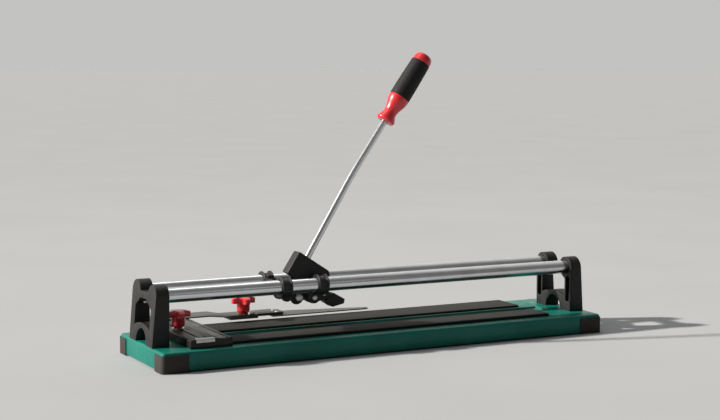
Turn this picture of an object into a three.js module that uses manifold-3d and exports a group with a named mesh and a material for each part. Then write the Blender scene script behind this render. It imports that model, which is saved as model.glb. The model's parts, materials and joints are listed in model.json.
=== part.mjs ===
// A manual tile cutter: a folded steel bed, two chromed rails between cast end supports, and a sliding
// carriage whose lever holds a scoring wheel and a presser foot. Millimetres, +X along the rails,
// +Y away from the operator, +Z up. The origin is the middle of the bed, on the table.
import * as THREE from "three";
import { mergeVertices } from "three/addons/utils/BufferGeometryUtils.js";
import Module from "manifold-3d";

const wasm = await Module();
wasm.setup();

// ---- Driving dimensions ------------------------------------------------------------------------
const GAP = 0.3; // running and seating clearance between pieces

const BED_LENGTH = 870;
const BED_WIDTH = 207;
const BED_TOP = 34.5; // height of the bed's top sheet over the table
const SKIRT_LIFT = 2.5; // the folded skirts stop this far above the table
const SHEET = 1.5;
const FOLD_RADIUS = 4.5;
const BED_CORNER = 6; // corner radius of the bed, seen from above

const CHANNEL_WIDTH = 41; // pressed channel between the two pads
const CHANNEL_DEPTH = 3;
const CHANNEL_OVERRUN = 36; // how far the channel runs on past the pads
const RIDGE_BASE = 14;
const RIDGE_CREST = 3;
const RIDGE_HEIGHT = 8;
const CENTRE_FOOT_SIZE = 44;

const PAD_HEIGHT = 5;
const PAD_WIDTH = 56;
const REAR_PAD_WIDTH = 70;
const PAD_SETBACK = 99; // bed showing past the pads' right ends

const CAP_LENGTH = 46; // corner cap, along the bed
const CAP_WIDTH = 33; // corner cap, across the bed
const CAP_DROP = 5; // the caps stop this far below the bed's top
const CAP_PROUD = 1.8;
const CAP_PLUG_HEIGHT = 18;

const RAIL_RADIUS = 12.5;
const RAIL_WALL = 2;
const RAIL_SPACING = 75.2;
const RAIL_RISE = 83.3; // rail axes over the bed's top

const SUPPORT_THICK = 30.5;
const RIGHT_SETBACK = 6; // the right support stands this far in from the bed's end
const SUPPORT_DRAFT = 0.085; // lean of the outer face, per mm of height
const HUMP_WALL = 6.5; // metal around each rail
const FOOT_HALF_WIDTH = 55;
const LEG_WIDTH = 20;
const WINDOW_SILL = 25.8; // window bottom corners over the bed's top
const SILL_CROWN = 7.6;
const WINDOW_SHOULDER = 60.3;
const WINDOW_TOP = 75;
const WINDOW_TOP_HALF = 15;
const SADDLE_RISE = 85.9; // floor of the notch between the humps
const ARCH_HALF_WIDTH = 25;
const ARCH_CROWN = 25;
const SOCKET_DEPTH = 18;
const RIM = 3; // metal around the hollows in the legs
const POCKET_DEPTH = 18;
const SET_SCREW_DEPTH = 9; // set screws, from the inner faces of the supports
const SET_SCREW_OFFSET = 5; // towards the middle, from the rail axes
const SET_SCREW_SEAT = 66; // over the bed's top

const SCREW_RADIUS = 3;
const SCREW_HEAD_RADIUS = 6;
const SCREW_HEAD_HEIGHT = 4;
const SCREW_REACH = 15; // thread above the bed's top
const SUPPORT_SCREW_Y = 45;
const SET_SCREW_RADIUS = 2.5;
const SET_HEAD_RADIUS = 4;
const SET_HEAD_HEIGHT = 4.5;

const FENCE_SETBACK = 129; // zero line of the cut, at the fence's right edge, from the bed's left end
const FENCE_WIDTH = 75;
const FENCE_HEIGHT = 15;
const FENCE_LIP = 8;
const TICK_BAND = 15;
const TICK_RECESS = 1.4;
const SCALE_THICK = 0.8;
const TRACK_RIB = 9;
const SLIDE_WIDTH = 33;
const SLIDE_HEIGHT = 7.4;
const SLIDE_IN = 40; // travel of the slide towards the operator
const SLIDE_OUT = 80; // travel of the slide away from the operator
const SLIDE_OVERHANG = 44; // how far the slide runs out behind the bed
const FENCE_FRONT = 90; // fence's near end, in front of the middle of the bed
const END_PLATE_THICK = 1.6;
const END_PLATE_DEPTH = 7; // how far the plate lies on the slide
const END_PLATE_HEIGHT = 5;

const KNOB_HEIGHT = 31.5;
const KNOB_HUB = 11.7;
const KNOB_NECK = 7.6;
const KNOB_SPAN = 45; // over two opposite lobes
const KNOB_WING = 5.5; // half a lobe's thickness
const KNOB_BAR = 12.5; // underside of the lobes, under the knob's top
const KNOB_NECK_HEIGHT = 5;
const STUD_RADIUS = 3;
const STUD_DEPTH = 4; // how far the fence knob's stud enters the fence
const FENCE_KNOB_SETBACK = 53.5; // from the zero line
const FENCE_KNOB_Y = 22;
const WASHER_THICK = 1;
const WASHER_RADIUS = 11;

const ARM_THICK = 2;
const ROOT_THICK = 5; // the ruler's root
const ARM_LIFT = 0.4; // the arm passes this far above the fence
const ARM_NEAR = 101;
const GAUGE_KNOB_REACH = 101; // from the zero line
const GAUGE_KNOB_Y = 99;
const ROOT_LENGTH = 54;
const ROOT_WIDTH = 45;
const ROOT_NEAR = 19; // from the gauge knob's axis towards the operator
const POINTER_HEIGHT = 4;
const HOLDER_REACH = 80; // from the gauge knob to the holder's tip
const RULER_THICK = 2;
const RULER_REACH = 171; // from the holder's tip to the ruler's tip
const RULER_WIDTH = 43;
const RULER_TIP = 13;
const RULER_NEAR = 89;
const RULER_OVERLAP = 26;
const RIVET_RADIUS = 2.5;

const CARRIAGE_REACH = 153; // middle of the carriage, from the zero line
const BUSH_LENGTH = 19;
const BUSH_PITCH = 70; // between the two bushes on one rail
const BUSH_WALL = 1.8;
const FLANGE_RADIUS = 18;
const FLANGE_THICK = 3;
const CHEEK_INNER = 12.6; // half the space between the cheeks
const CHEEK_THICK = 6;
const BRIDGE_THICK = 5; // wall that joins the cheeks on the left
const CHEEK_RISE = 8; // cheek top over the rail axes
const CHEEK_DROP = 17.8; // cheek bottom edge under the rail axes
const LOBE_RADIUS = 10;
const PIVOT_X = 33; // lever pivot, from the middle of the carriage
const PIVOT_DROP = 26.3; // lever pivot under the rail axes
const PIVOT_RADIUS = 4;
const STOP_X = -20; // left lobes of the cheeks
const STOP_DROP = 19.8;

const LEVER_LEAN = 33; // degrees from upright
const BLOCK_HALF = 11;
const BLOCK_LEFT = -66;
const BLOCK_RIGHT = 8;
const BLOCK_TOP = 54.5;
const BLOCK_FLOOR = 12;
const ROD_RADIUS = 6;
const ROD_X = -41.8; // foot of the rod, from the lever pivot
const ROD_SEAT = 22;
const ROD_TILT = -1.6; // degrees between the rod's lower half and the block's sides
const ROD_LOWER = 170; // straight run below the bend
const ROD_BEND = 3.6; // degrees
const ROD_BEND_LENGTH = 60;
const ROD_UPPER = 84.5; // straight run from the bend to the grip
const ROD_IN_GRIP = 85;
const GRIP_LENGTH = 144.5;
const SLEEVE_START = 51.5;
const SLEEVE_END = 126.5;
const SLEEVE_LOW_RADIUS = 19;
const SLEEVE_HIGH_RADIUS = 17.6;
const CORE_RADIUS = 12;
const CLAMP_BOLT_Z = 45;
const CLAMP_BOLT_RADIUS = 3;
const CLAMP_BOLT_HEX = 5.8;
const CLAMP_BOLT_HEAD = 5;

const WHEEL_X = -22.2; // wheel axle, from the lever pivot
const WHEEL_Z = -13.5;
const WHEEL_RADIUS = 13.5;
const WHEEL_THICK = 3.6;
const FORK_HALF = 6.9;
const FORK_RADIUS = 10.2;
const STEM_RADIUS = 5;
const STEM_TOP = 40; // over the lever pivot
const LOCK_SCREW_Z = 16.5;
const AXLE_RADIUS = 2.5;
const AXLE_HEX = 7.6;
const AXLE_HEAD = 4.6;
const AXLE_NUT = 4;

const FOOT_PIN_X = 17;
const FOOT_PIN_Z = 15;
const FOOT_PIN_RADIUS = 3;
const FOOT_EAR_RADIUS = 9;
const TONGUE_HALF = 5;
const FOOT_LENGTH = 43;
const FOOT_BOTTOM = 4.5;
const FOOT_TOP = 26.5;
const FOOT_CHAMFER = 16;
const FOOT_NOSE = 3;
const FOOT_RISE = 1.5; // how far the top climbs towards the nose

// ---- Derived places ----------------------------------------------------------------------------
const HALF_LENGTH = BED_LENGTH / 2;
const HALF_WIDTH = BED_WIDTH / 2;
const RAIL_Y = RAIL_SPACING / 2;
const RAIL_Z = BED_TOP + RAIL_RISE;
const CHANNEL_FLOOR = BED_TOP - CHANNEL_DEPTH;
const SUPPORT_INNER = HALF_LENGTH - SUPPORT_THICK;
const RAIL_END = SUPPORT_INNER + SOCKET_DEPTH - GAP;
const FENCE_RIGHT = FENCE_SETBACK - HALF_LENGTH;
const FENCE_LEFT = FENCE_RIGHT - FENCE_WIDTH;
const PAD_END = HALF_LENGTH - PAD_SETBACK;
const FENCE_TOP = BED_TOP + FENCE_HEIGHT;
const TRACK_RIGHT = FENCE_RIGHT - FENCE_LIP - TICK_BAND - TRACK_RIB;
const TRACK_LEFT = TRACK_RIGHT - SLIDE_WIDTH - 2 * GAP;
const SLIDE_TOP = FENCE_TOP - GAP;
const TRACK_FLOOR = SLIDE_TOP - SLIDE_HEIGHT - GAP;
const SLIDE_MIDDLE = (TRACK_LEFT + TRACK_RIGHT) / 2;
const SLIDE_FAR = HALF_WIDTH + SLIDE_OVERHANG;
const PAD_START = FENCE_RIGHT + 1;
const ARM_BOTTOM = FENCE_TOP + ARM_LIFT;
const ARM_TOP = ARM_BOTTOM + ARM_THICK;
const ROOT_BOTTOM = ARM_BOTTOM - ROOT_THICK;
const FENCE_KNOB_X = FENCE_RIGHT - FENCE_KNOB_SETBACK;
const GAUGE_KNOB_X = FENCE_RIGHT + GAUGE_KNOB_REACH;
const HOLDER_END = GAUGE_KNOB_X + HOLDER_REACH;
const RULER_END = HOLDER_END + RULER_REACH;
const CARRIAGE_X = FENCE_RIGHT + CARRIAGE_REACH;
const BUSH_RADIUS = RAIL_RADIUS + GAP + BUSH_WALL;
const CHEEK_OUTER = CHEEK_INNER + CHEEK_THICK;
const fenceKnobAt = [FENCE_KNOB_X, FENCE_KNOB_Y];
const gaugeKnobAt = [GAUGE_KNOB_X, GAUGE_KNOB_Y];
const SEGMENTS = 24; // facets of every round piece that runs or seats on another

// ---- Materials ---------------------------------------------------------------------------------
const finish = (color, roughness, metalness) =>
  new THREE.MeshStandardMaterial({ color, roughness, metalness });
const GREEN_PAINT = finish("#2f7a65", 0.45, 0);
const BLACK_CASTING = finish("#1d1d1c", 0.6, 0);
const CHROME = finish("#c9cbcc", 0.15, 1);
const ZINC = finish("#a5a6a4", 0.35, 1);
const CAP_RUBBER = finish("#3a332d", 0.85, 0);
const PAD_RUBBER = finish("#4b4b45", 0.9, 0);
const BLACK_ANODISED = finish("#242523", 0.45, 0.4);
const GREY_STEEL = finish("#5c5b55", 0.5, 0.6);
const RED_PLASTIC = finish("#c3252b", 0.35, 0);
const GRIP_RUBBER = finish("#202321", 0.75, 0);
const BLACK_PLASTIC = finish("#191918", 0.5, 0);
const WHITE_PLASTIC = finish("#e8e6e0", 0.5, 0);

// ---- Solids ------------------------------------------------------------------------------------
function solidOf(geometry) {
  const bare = geometry.index ? geometry.toNonIndexed() : geometry.clone();
  bare.deleteAttribute("normal");
  bare.deleteAttribute("uv");
  const merged = mergeVertices(bare, 1e-4);
  return new wasm.Manifold(
    new wasm.Mesh({
      numProp: 3,
      vertProperties: merged.attributes.position.array,
      triVerts: new Uint32Array(merged.index.array),
    }),
  );
}

function geometryOf(solid) {
  const data = solid.getMesh();
  const geometry = new THREE.BufferGeometry()
    .setAttribute("position", new THREE.BufferAttribute(data.vertProperties, 3))
    .setIndex(new THREE.BufferAttribute(data.triVerts, 1))
    .toNonIndexed();
  geometry.computeVertexNormals();
  return geometry;
}

const radians = THREE.MathUtils.degToRad;
const leaning = (degrees) =>
  new THREE.Vector3(Math.sin(radians(degrees)), 0, Math.cos(radians(degrees)));

const join = (...solids) => solids.reduce((whole, next) => whole.add(next));
const cut = (solid, ...tools) => tools.reduce((whole, tool) => whole.subtract(tool), solid);

function box(x0, x1, y0, y1, z0, z1) {
  const block = new THREE.BoxGeometry(x1 - x0, y1 - y0, z1 - z0);
  return solidOf(block.translate((x0 + x1) / 2, (y0 + y1) / 2, (z0 + z1) / 2));
}

// A round bar from `from` to `to` along an axis; `at` gives its two other coordinates in X, Y, Z order.
function bar(axis, radius, from, to, at = [0, 0], sides = SEGMENTS, endRadius = radius) {
  const round = new THREE.CylinderGeometry(endRadius, radius, to - from, sides);
  round.translate(0, (from + to) / 2, 0);
  if (axis === "x") round.rotateZ(-Math.PI / 2).translate(0, at[0], at[1]);
  if (axis === "y") round.translate(at[0], 0, at[1]);
  if (axis === "z") round.rotateX(Math.PI / 2).translate(at[0], at[1], 0);
  return solidOf(round);
}

const tube = (axis, outer, inner, from, to, at) =>
  cut(bar(axis, outer, from, to, at), bar(axis, inner, from - 1, to + 1, at));

// A turned piece on the Y or Z axis, from [radius, distance along the axis] points in rising order.
function turned(axis, points, sides = SEGMENTS) {
  const profile = points.map(([radius, along]) => new THREE.Vector2(radius, along));
  const round = new THREE.LatheGeometry(profile, sides);
  return solidOf(axis === "z" ? round.rotateX(Math.PI / 2) : round);
}

// Flat outlines pushed along an axis. The outline's own axes are (Y, Z), (X, Z) and (X, Y).
const PRISM_BASIS = {
  x: [[0, 1, 0], [0, 0, 1], [1, 0, 0]],
  y: [[1, 0, 0], [0, 0, 1], [0, -1, 0]],
  z: [[1, 0, 0], [0, 1, 0], [0, 0, 1]],
};

function prism(axis, shape, from, to, curveSegments = 8) {
  const geometry = new THREE.ExtrudeGeometry(shape, {
    depth: to - from,
    bevelEnabled: false,
    curveSegments,
  });
  const [u, v, w] = PRISM_BASIS[axis].map((direction) => new THREE.Vector3(...direction));
  geometry.applyMatrix4(new THREE.Matrix4().makeBasis(u, v, w));
  const start = axis === "y" ? to : from;
  return solidOf(
    geometry.translate(
      axis === "x" ? start : 0,
      axis === "y" ? start : 0,
      axis === "z" ? start : 0,
    ),
  );
}

function outline(points) {
  const shape = new THREE.Shape();
  points.forEach(([u, v], i) => (i ? shape.lineTo(u, v) : shape.moveTo(u, v)));
  shape.closePath();
  return shape;
}

function roundedRectangle(halfLength, halfWidth, radius, [u, v] = [0, 0]) {
  const shape = new THREE.Shape();
  const [x, y] = [halfLength - radius, halfWidth - radius];
  shape.absarc(u + x, v + y, radius, 0, Math.PI / 2);
  shape.absarc(u - x, v + y, radius, Math.PI / 2, Math.PI);
  shape.absarc(u - x, v - y, radius, Math.PI, 1.5 * Math.PI);
  shape.absarc(u + x, v - y, radius, 1.5 * Math.PI, 2 * Math.PI);
  shape.closePath();
  return shape;
}

function piece(name, solid, material) {
  const mesh = new THREE.Mesh(geometryOf(solid), material);
  mesh.name = name;
  return mesh;
}

const SIDES = [
  ["front", -1],
  ["rear", 1],
];
const ENDS = [
  ["left", -1],
  ["right", 1],
];

// A hexagon head or nut on an axis.
const hex = (axis, size, from, to, at) => bar(axis, size, from, to, at, 6);

// ---- Bed ---------------------------------------------------------------------------------------
// The outer or inner form of the folded bed: a block with its upper edges rounded over.
function foldedForm(inset, top, radius) {
  const corner = Math.max(BED_CORNER - inset, 1);
  const form = new THREE.ExtrudeGeometry(
    roundedRectangle(HALF_LENGTH - inset, HALF_WIDTH - inset, corner),
    {
      depth: top - radius - SKIRT_LIFT,
      bevelThickness: radius,
      bevelSize: radius,
      bevelOffset: -radius,
      bevelSegments: 3,
      curveSegments: 4,
    },
  );
  return solidOf(form.translate(0, 0, SKIRT_LIFT));
}

function channelCut(margin) {
  const half = CHANNEL_WIDTH / 2 + margin;
  return box(
    PAD_START - margin,
    PAD_END + CHANNEL_OVERRUN + margin,
    -half,
    half,
    CHANNEL_FLOOR - margin,
    BED_TOP + 1,
  );
}

const supportScrewX = HALF_LENGTH - SUPPORT_THICK / 2;
const supportPlace = (end, x) => end * x - (end > 0 ? RIGHT_SETBACK : 0);
const fenceScrews = [
  [(FENCE_LEFT + TRACK_LEFT) / 2, -HALF_WIDTH * 0.6],
  [FENCE_RIGHT - FENCE_LIP - TICK_BAND / 2, HALF_WIDTH * 0.6],
];

function makeBasePan() {
  const outer = foldedForm(0, BED_TOP, FOLD_RADIUS);
  const hollow = foldedForm(SHEET, BED_TOP - SHEET, FOLD_RADIUS - SHEET);
  const trim = box(-BED_LENGTH, BED_LENGTH, -BED_WIDTH, BED_WIDTH, -BED_TOP, SKIRT_LIFT);
  const screwHoles = [];
  for (const [, end] of ENDS)
    for (const [, side] of SIDES)
      screwHoles.push([supportPlace(end, supportScrewX), side * SUPPORT_SCREW_Y]);
  screwHoles.push(...fenceScrews);
  return cut(
    outer,
    channelCut(0),
    hollow.subtract(channelCut(SHEET)),
    trim,
    ...screwHoles.map((at) => bar("z", SCREW_RADIUS + GAP, 0, BED_TOP + 1, at, 16)),
  );
}

// A rubber cap over one corner of the bed: outer wall, foot sole and a plug inside the skirts.
function makeCornerCap(end, side) {
  const [x, y] = [end * HALF_LENGTH, side * HALF_WIDTH];
  const span = (from, to) => [Math.min(from, to), Math.max(from, to)];
  const reach = (proud, z0, z1) =>
    box(...span(x + end * proud, x - end * CAP_LENGTH), ...span(y + side * proud, y - side * CAP_WIDTH), z0, z1);
  const skirt = prism(
    "z",
    roundedRectangle(HALF_LENGTH + GAP, HALF_WIDTH + GAP, BED_CORNER),
    SKIRT_LIFT,
    BED_TOP,
    4,
  );
  const inside = SHEET + GAP;
  const hollow = prism(
    "z",
    roundedRectangle(HALF_LENGTH - inside, HALF_WIDTH - inside, BED_CORNER - inside),
    0,
    CAP_PLUG_HEIGHT,
    4,
  );
  const shell = prism(
    "z",
    roundedRectangle(HALF_LENGTH + CAP_PROUD, HALF_WIDTH + CAP_PROUD, BED_CORNER + CAP_PROUD),
    0,
    BED_TOP - CAP_DROP,
    4,
  );
  const wall = reach(CAP_PROUD, 0, BED_TOP - CAP_DROP).intersect(shell).subtract(skirt);
  const plug = reach(0, 0, CAP_PLUG_HEIGHT).intersect(hollow);
  return join(wall, plug);
}

function makeRidge() {
  const [base, crest] = [RIDGE_BASE / 2, RIDGE_CREST / 2];
  const profile = outline([
    [-base, CHANNEL_FLOOR],
    [base, CHANNEL_FLOOR],
    [crest, CHANNEL_FLOOR + RIDGE_HEIGHT],
    [-crest, CHANNEL_FLOOR + RIDGE_HEIGHT],
  ]);
  return prism("x", profile, PAD_START + 1, PAD_END);
}

function makePad(side, width) {
  const inner = CHANNEL_WIDTH / 2 + 2;
  const [y0, y1] = side < 0 ? [-inner - width, -inner] : [inner, inner + width];
  const middle = [(PAD_START + PAD_END) / 2, (y0 + y1) / 2];
  const shape = roundedRectangle((PAD_END - PAD_START) / 2, width / 2, 1.5, middle);
  return prism("z", shape, BED_TOP, BED_TOP + PAD_HEIGHT, 2);
}

function makeBed() {
  const bed = new THREE.Group();
  bed.add(piece("base_pan", makeBasePan(), GREEN_PAINT));
  for (const [endName, end] of ENDS)
    for (const [sideName, side] of SIDES)
      bed.add(piece(`corner_cap_${sideName}_${endName}`, makeCornerCap(end, side), CAP_RUBBER));
  const half = CENTRE_FOOT_SIZE / 2;
  const centreFoot = box(-half, half, -half, half, 0, CHANNEL_FLOOR - SHEET);
  bed.add(
    piece("centre_foot", centreFoot, CAP_RUBBER),
    piece("breaking_ridge", makeRidge(), GREEN_PAINT),
    piece("front_pad", makePad(-1, PAD_WIDTH), PAD_RUBBER),
    piece("rear_pad", makePad(1, REAR_PAD_WIDTH), PAD_RUBBER),
  );
  return bed;
}

// ---- End supports and rails --------------------------------------------------------------------
function supportProfile() {
  const hump = RAIL_RADIUS + HUMP_WALL;
  const shape = new THREE.Shape();
  const notch = Math.asin((BED_TOP + SADDLE_RISE - RAIL_Z) / hump);
  shape.moveTo(ARCH_HALF_WIDTH, BED_TOP);
  shape.lineTo(FOOT_HALF_WIDTH, BED_TOP);
  shape.absarc(RAIL_Y, RAIL_Z, hump, 0, Math.PI - notch);
  shape.absarc(-RAIL_Y, RAIL_Z, hump, notch, Math.PI);
  shape.lineTo(-FOOT_HALF_WIDTH, BED_TOP);
  shape.lineTo(-ARCH_HALF_WIDTH, BED_TOP);
  shape.absellipse(0, BED_TOP, ARCH_HALF_WIDTH, ARCH_CROWN, Math.PI, 0, true);
  return shape;
}

function windowProfile() {
  const half = FOOT_HALF_WIDTH - LEG_WIDTH + 2;
  const sill = BED_TOP + WINDOW_SILL;
  const radius = (half * half + SILL_CROWN * SILL_CROWN) / (2 * SILL_CROWN);
  const sweep = Math.asin(half / radius);
  const shape = new THREE.Shape();
  shape.absarc(0, sill + SILL_CROWN - radius, radius, Math.PI / 2 + sweep, Math.PI / 2 - sweep, true);
  shape.lineTo(half, BED_TOP + WINDOW_SHOULDER);
  shape.lineTo(WINDOW_TOP_HALF, BED_TOP + WINDOW_TOP);
  shape.lineTo(-WINDOW_TOP_HALF, BED_TOP + WINDOW_TOP);
  shape.lineTo(-half, BED_TOP + WINDOW_SHOULDER);
  shape.closePath();
  return shape;
}

const setScrewX = SUPPORT_INNER + SET_SCREW_DEPTH;
const setScrewY = RAIL_Y - SET_SCREW_OFFSET;
const setScrewSeat = BED_TOP + SET_SCREW_SEAT;
const pocketFloor = BED_TOP + SCREW_REACH + 2.5; // the feet are solid up to here
const pocketRoof = RAIL_Z - RAIL_RADIUS - 5;

// The right-hand support; the left one is its mirror image.
function makeSupport() {
  const lean = SUPPORT_DRAFT;
  const height = 2 * RAIL_RISE;
  const outerSlope = outline([
    [HALF_LENGTH, BED_TOP],
    [HALF_LENGTH + BED_WIDTH, BED_TOP],
    [HALF_LENGTH + BED_WIDTH, BED_TOP + height],
    [HALF_LENGTH - lean * height, BED_TOP + height],
  ]);
  const blank = cut(
    prism("x", supportProfile(), SUPPORT_INNER, HALF_LENGTH, 12),
    prism("x", windowProfile(), SUPPORT_INNER - 1, HALF_LENGTH + 1, 8),
    prism("y", outerSlope, -BED_WIDTH, BED_WIDTH),
  );
  const rails = SIDES.map(([, side]) => [side * RAIL_Y, RAIL_Z]);
  const sockets = rails.map((at) =>
    bar("x", RAIL_RADIUS + GAP, SUPPORT_INNER - 1, SUPPORT_INNER + SOCKET_DEPTH, at),
  );
  const pocketHalf = (LEG_WIDTH - 2 - 2 * RIM) / 2;
  const pockets = SIDES.map(([, side]) => {
    const middle = [side * (FOOT_HALF_WIDTH - RIM - pocketHalf), (pocketFloor + pocketRoof) / 2];
    const shape = roundedRectangle(pocketHalf, (pocketRoof - pocketFloor) / 2, 4, middle);
    return prism("x", shape, SUPPORT_INNER - 1, SUPPORT_INNER + POCKET_DEPTH, 3);
  });
  const feet = SIDES.map(([, side]) =>
    bar("z", SCREW_RADIUS + GAP, BED_TOP - 1, BED_TOP + SCREW_REACH + 1, [supportScrewX, side * SUPPORT_SCREW_Y], 16),
  );
  const clampHoles = SIDES.flatMap(([, side]) => {
    const at = [setScrewX, side * setScrewY];
    return [
      bar("z", SET_SCREW_RADIUS + GAP, setScrewSeat - 1, RAIL_Z - RAIL_RADIUS + 4, at, 12),
      bar("z", SET_HEAD_RADIUS + GAP, BED_TOP + WINDOW_SHOULDER - 6, setScrewSeat, at, 16),
    ];
  });
  return cut(blank, ...sockets, ...pockets, ...feet, ...clampHoles);
}

// A screw pointing up, with its head's top face at `seat`.
function screwUp(radius, headRadius, headHeight, seat, tip, at) {
  const head = bar("z", headRadius, seat - headHeight, seat, at, 12);
  return join(head, bar("z", radius, seat - 1, tip, at, 12));
}

function makeFrame() {
  const frame = new THREE.Group();
  const support = makeSupport();
  for (const [endName, end] of ENDS) {
    const casting = piece(`${endName}_support`, support, BLACK_CASTING);
    casting.scale.x = end;
    casting.position.x = supportPlace(end, 0);
    frame.add(casting);
    for (const [sideName, side] of SIDES) {
      const foot = screwUp(
        SCREW_RADIUS,
        SCREW_HEAD_RADIUS,
        SCREW_HEAD_HEIGHT,
        BED_TOP - SHEET,
        BED_TOP + SCREW_REACH,
        [supportPlace(end, supportScrewX), side * SUPPORT_SCREW_Y],
      );
      const setScrew = screwUp(
        SET_SCREW_RADIUS,
        SET_HEAD_RADIUS,
        SET_HEAD_HEIGHT,
        setScrewSeat,
        RAIL_Z - RAIL_RADIUS - GAP,
        [supportPlace(end, setScrewX), side * setScrewY],
      );
      frame.add(
        piece(`support_screw_${sideName}_${endName}`, foot, ZINC),
        piece(`rail_set_screw_${sideName}_${endName}`, setScrew, ZINC),
      );
    }
  }
  for (const [sideName, side] of SIDES) {
    const [from, to] = [supportPlace(-1, RAIL_END), supportPlace(1, RAIL_END)];
    const rail = tube("x", RAIL_RADIUS, RAIL_RADIUS - RAIL_WALL, from, to, [side * RAIL_Y, RAIL_Z]);
    frame.add(piece(`${sideName}_rail`, rail, CHROME));
  }
  return frame;
}

// ---- Fence and its sliding scale ---------------------------------------------------------------
function makeFenceBar() {
  const bandRight = FENCE_RIGHT - FENCE_LIP;
  const bandLeft = bandRight - TICK_BAND;
  const profile = outline([
    [FENCE_LEFT, BED_TOP],
    [FENCE_RIGHT, BED_TOP],
    [FENCE_RIGHT, FENCE_TOP - 2],
    [FENCE_RIGHT - 2, FENCE_TOP],
    [bandRight, FENCE_TOP],
    [bandRight, FENCE_TOP - TICK_RECESS],
    [bandLeft, FENCE_TOP - TICK_RECESS],
    [bandLeft, FENCE_TOP],
    [TRACK_RIGHT, FENCE_TOP],
    [TRACK_RIGHT, TRACK_FLOOR],
    [TRACK_LEFT, TRACK_FLOOR],
    [TRACK_LEFT, FENCE_TOP],
    [FENCE_LEFT + 2, FENCE_TOP],
    [FENCE_LEFT, FENCE_TOP - 2],
  ]);
  const studHole = bar("z", STUD_RADIUS + GAP, TRACK_FLOOR - STUD_DEPTH - GAP, FENCE_TOP, fenceKnobAt, 16);
  const screwHoles = fenceScrews.map((at) =>
    bar("z", SCREW_RADIUS + GAP, BED_TOP - 1, FENCE_TOP - 4, at, 16),
  );
  return cut(prism("y", profile, -FENCE_FRONT, HALF_WIDTH), studHole, ...screwHoles);
}

// The sliding scale: it runs in the fence's track, with a long slot for the clamping knob's stud.
function makeScaleSlide() {
  const [left, right] = [TRACK_LEFT + GAP, TRACK_RIGHT - GAP];
  const near = -FENCE_FRONT;
  const slide = box(left, right, near, SLIDE_FAR, TRACK_FLOOR + GAP, SLIDE_TOP);
  const boss = box(left, right, ARM_NEAR + 2, SLIDE_FAR, SLIDE_TOP - 1, ARM_BOTTOM);
  const groove = (x) => box(x - 1, x + 1, near - 1, ARM_NEAR, SLIDE_TOP - 1.2, SLIDE_TOP + 1);
  const holes = armScrews.map((at) => bar("z", RIVET_RADIUS + GAP, SLIDE_TOP - 4, ARM_TOP, at, 12));
  const slotHalf = STUD_RADIUS + 0.5;
  const slotMiddle = [FENCE_KNOB_X, FENCE_KNOB_Y + (SLIDE_IN - SLIDE_OUT) / 2];
  const slotReach = (SLIDE_IN + SLIDE_OUT) / 2 + slotHalf;
  const slot = roundedRectangle(slotHalf, slotReach, slotHalf - 0.01, slotMiddle);
  return cut(
    join(slide, boss),
    prism("z", slot, TRACK_FLOOR - 1, SLIDE_TOP + 1, 4),
    groove(SLIDE_MIDDLE - 4),
    groove(SLIDE_MIDDLE + 7),
    ...holes,
  );
}

const armScrews = [1, 3].map((quarter) => [
  SLIDE_MIDDLE,
  ARM_NEAR + (quarter / 4) * (SLIDE_FAR - ARM_NEAR),
]);

function screwDown(radius, headRadius, headHeight, seat, tip, at) {
  const head = bar("z", headRadius, seat, seat + headHeight, at, 16, headRadius * 0.7);
  return join(head, bar("z", radius, tip, seat + 1, at, 12));
}

function makeFence() {
  const fence = new THREE.Group();
  const band = [FENCE_RIGHT - FENCE_LIP - TICK_BAND + GAP, FENCE_RIGHT - FENCE_LIP - GAP];
  const seat = FENCE_TOP - TICK_RECESS;
  const scale = box(...band, -FENCE_FRONT + 4, HALF_WIDTH - 2, seat, seat + SCALE_THICK);
  const washer = tube(
    "z",
    WASHER_RADIUS,
    STUD_RADIUS + GAP,
    FENCE_TOP,
    FENCE_TOP + WASHER_THICK,
    fenceKnobAt,
  );
  fence.add(
    piece("fence_bar", makeFenceBar(), BLACK_ANODISED),
    piece("fence_scale", scale, GREY_STEEL),
    piece("fence_knob_washer", washer, ZINC),
  );
  fenceScrews.forEach((at, i) => {
    const screw = screwUp(
      SCREW_RADIUS,
      SCREW_HEAD_RADIUS,
      SCREW_HEAD_HEIGHT,
      BED_TOP - SHEET,
      FENCE_TOP - 5,
      at,
    );
    fence.add(piece(`fence_screw_${ENDS[i][0]}`, screw, ZINC));
  });
  return fence;
}

// A four-lobed clamping knob that stands on z = 0, with a blind hole for its stud.
function makeKnob() {
  const lobeFloor = KNOB_HEIGHT - KNOB_BAR;
  const reach = KNOB_SPAN / 2;
  const hub = turned("z", [
    [0, 0],
    [KNOB_NECK, 0],
    [KNOB_HUB, KNOB_NECK_HEIGHT],
    [KNOB_HUB, KNOB_HEIGHT - 1.5],
    [0, KNOB_HEIGHT],
  ], 24);
  const dome = turned("z", [
    [0, lobeFloor],
    [reach - 1, lobeFloor],
    [reach, lobeFloor + 1],
    [reach, KNOB_HEIGHT - 5],
    [reach - 1.5, KNOB_HEIGHT - 3.5],
    [reach * 0.6, KNOB_HEIGHT - 1.2],
    [0, KNOB_HEIGHT],
  ], 32);
  const lobe = (halfX, halfY) =>
    prism("z", roundedRectangle(halfX, halfY, KNOB_WING - 0.5), lobeFloor, KNOB_HEIGHT, 4);
  const lobes = join(lobe(reach, KNOB_WING), lobe(KNOB_WING, reach)).intersect(dome);
  return cut(join(hub, lobes), bar("z", STUD_RADIUS + GAP, -1, KNOB_HEIGHT / 2, [0, 0], 16));
}

function makeKnobSet(name, [x, y], seat, tip) {
  const group = new THREE.Group();
  group.position.set(x, y, seat);
  const stud = bar("z", STUD_RADIUS, tip - seat, KNOB_HEIGHT / 2 - GAP, [0, 0], 16);
  group.add(piece(`${name}_knob`, makeKnob(), RED_PLASTIC), piece(`${name}_stud`, stud, ZINC));
  return group;
}

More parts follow.
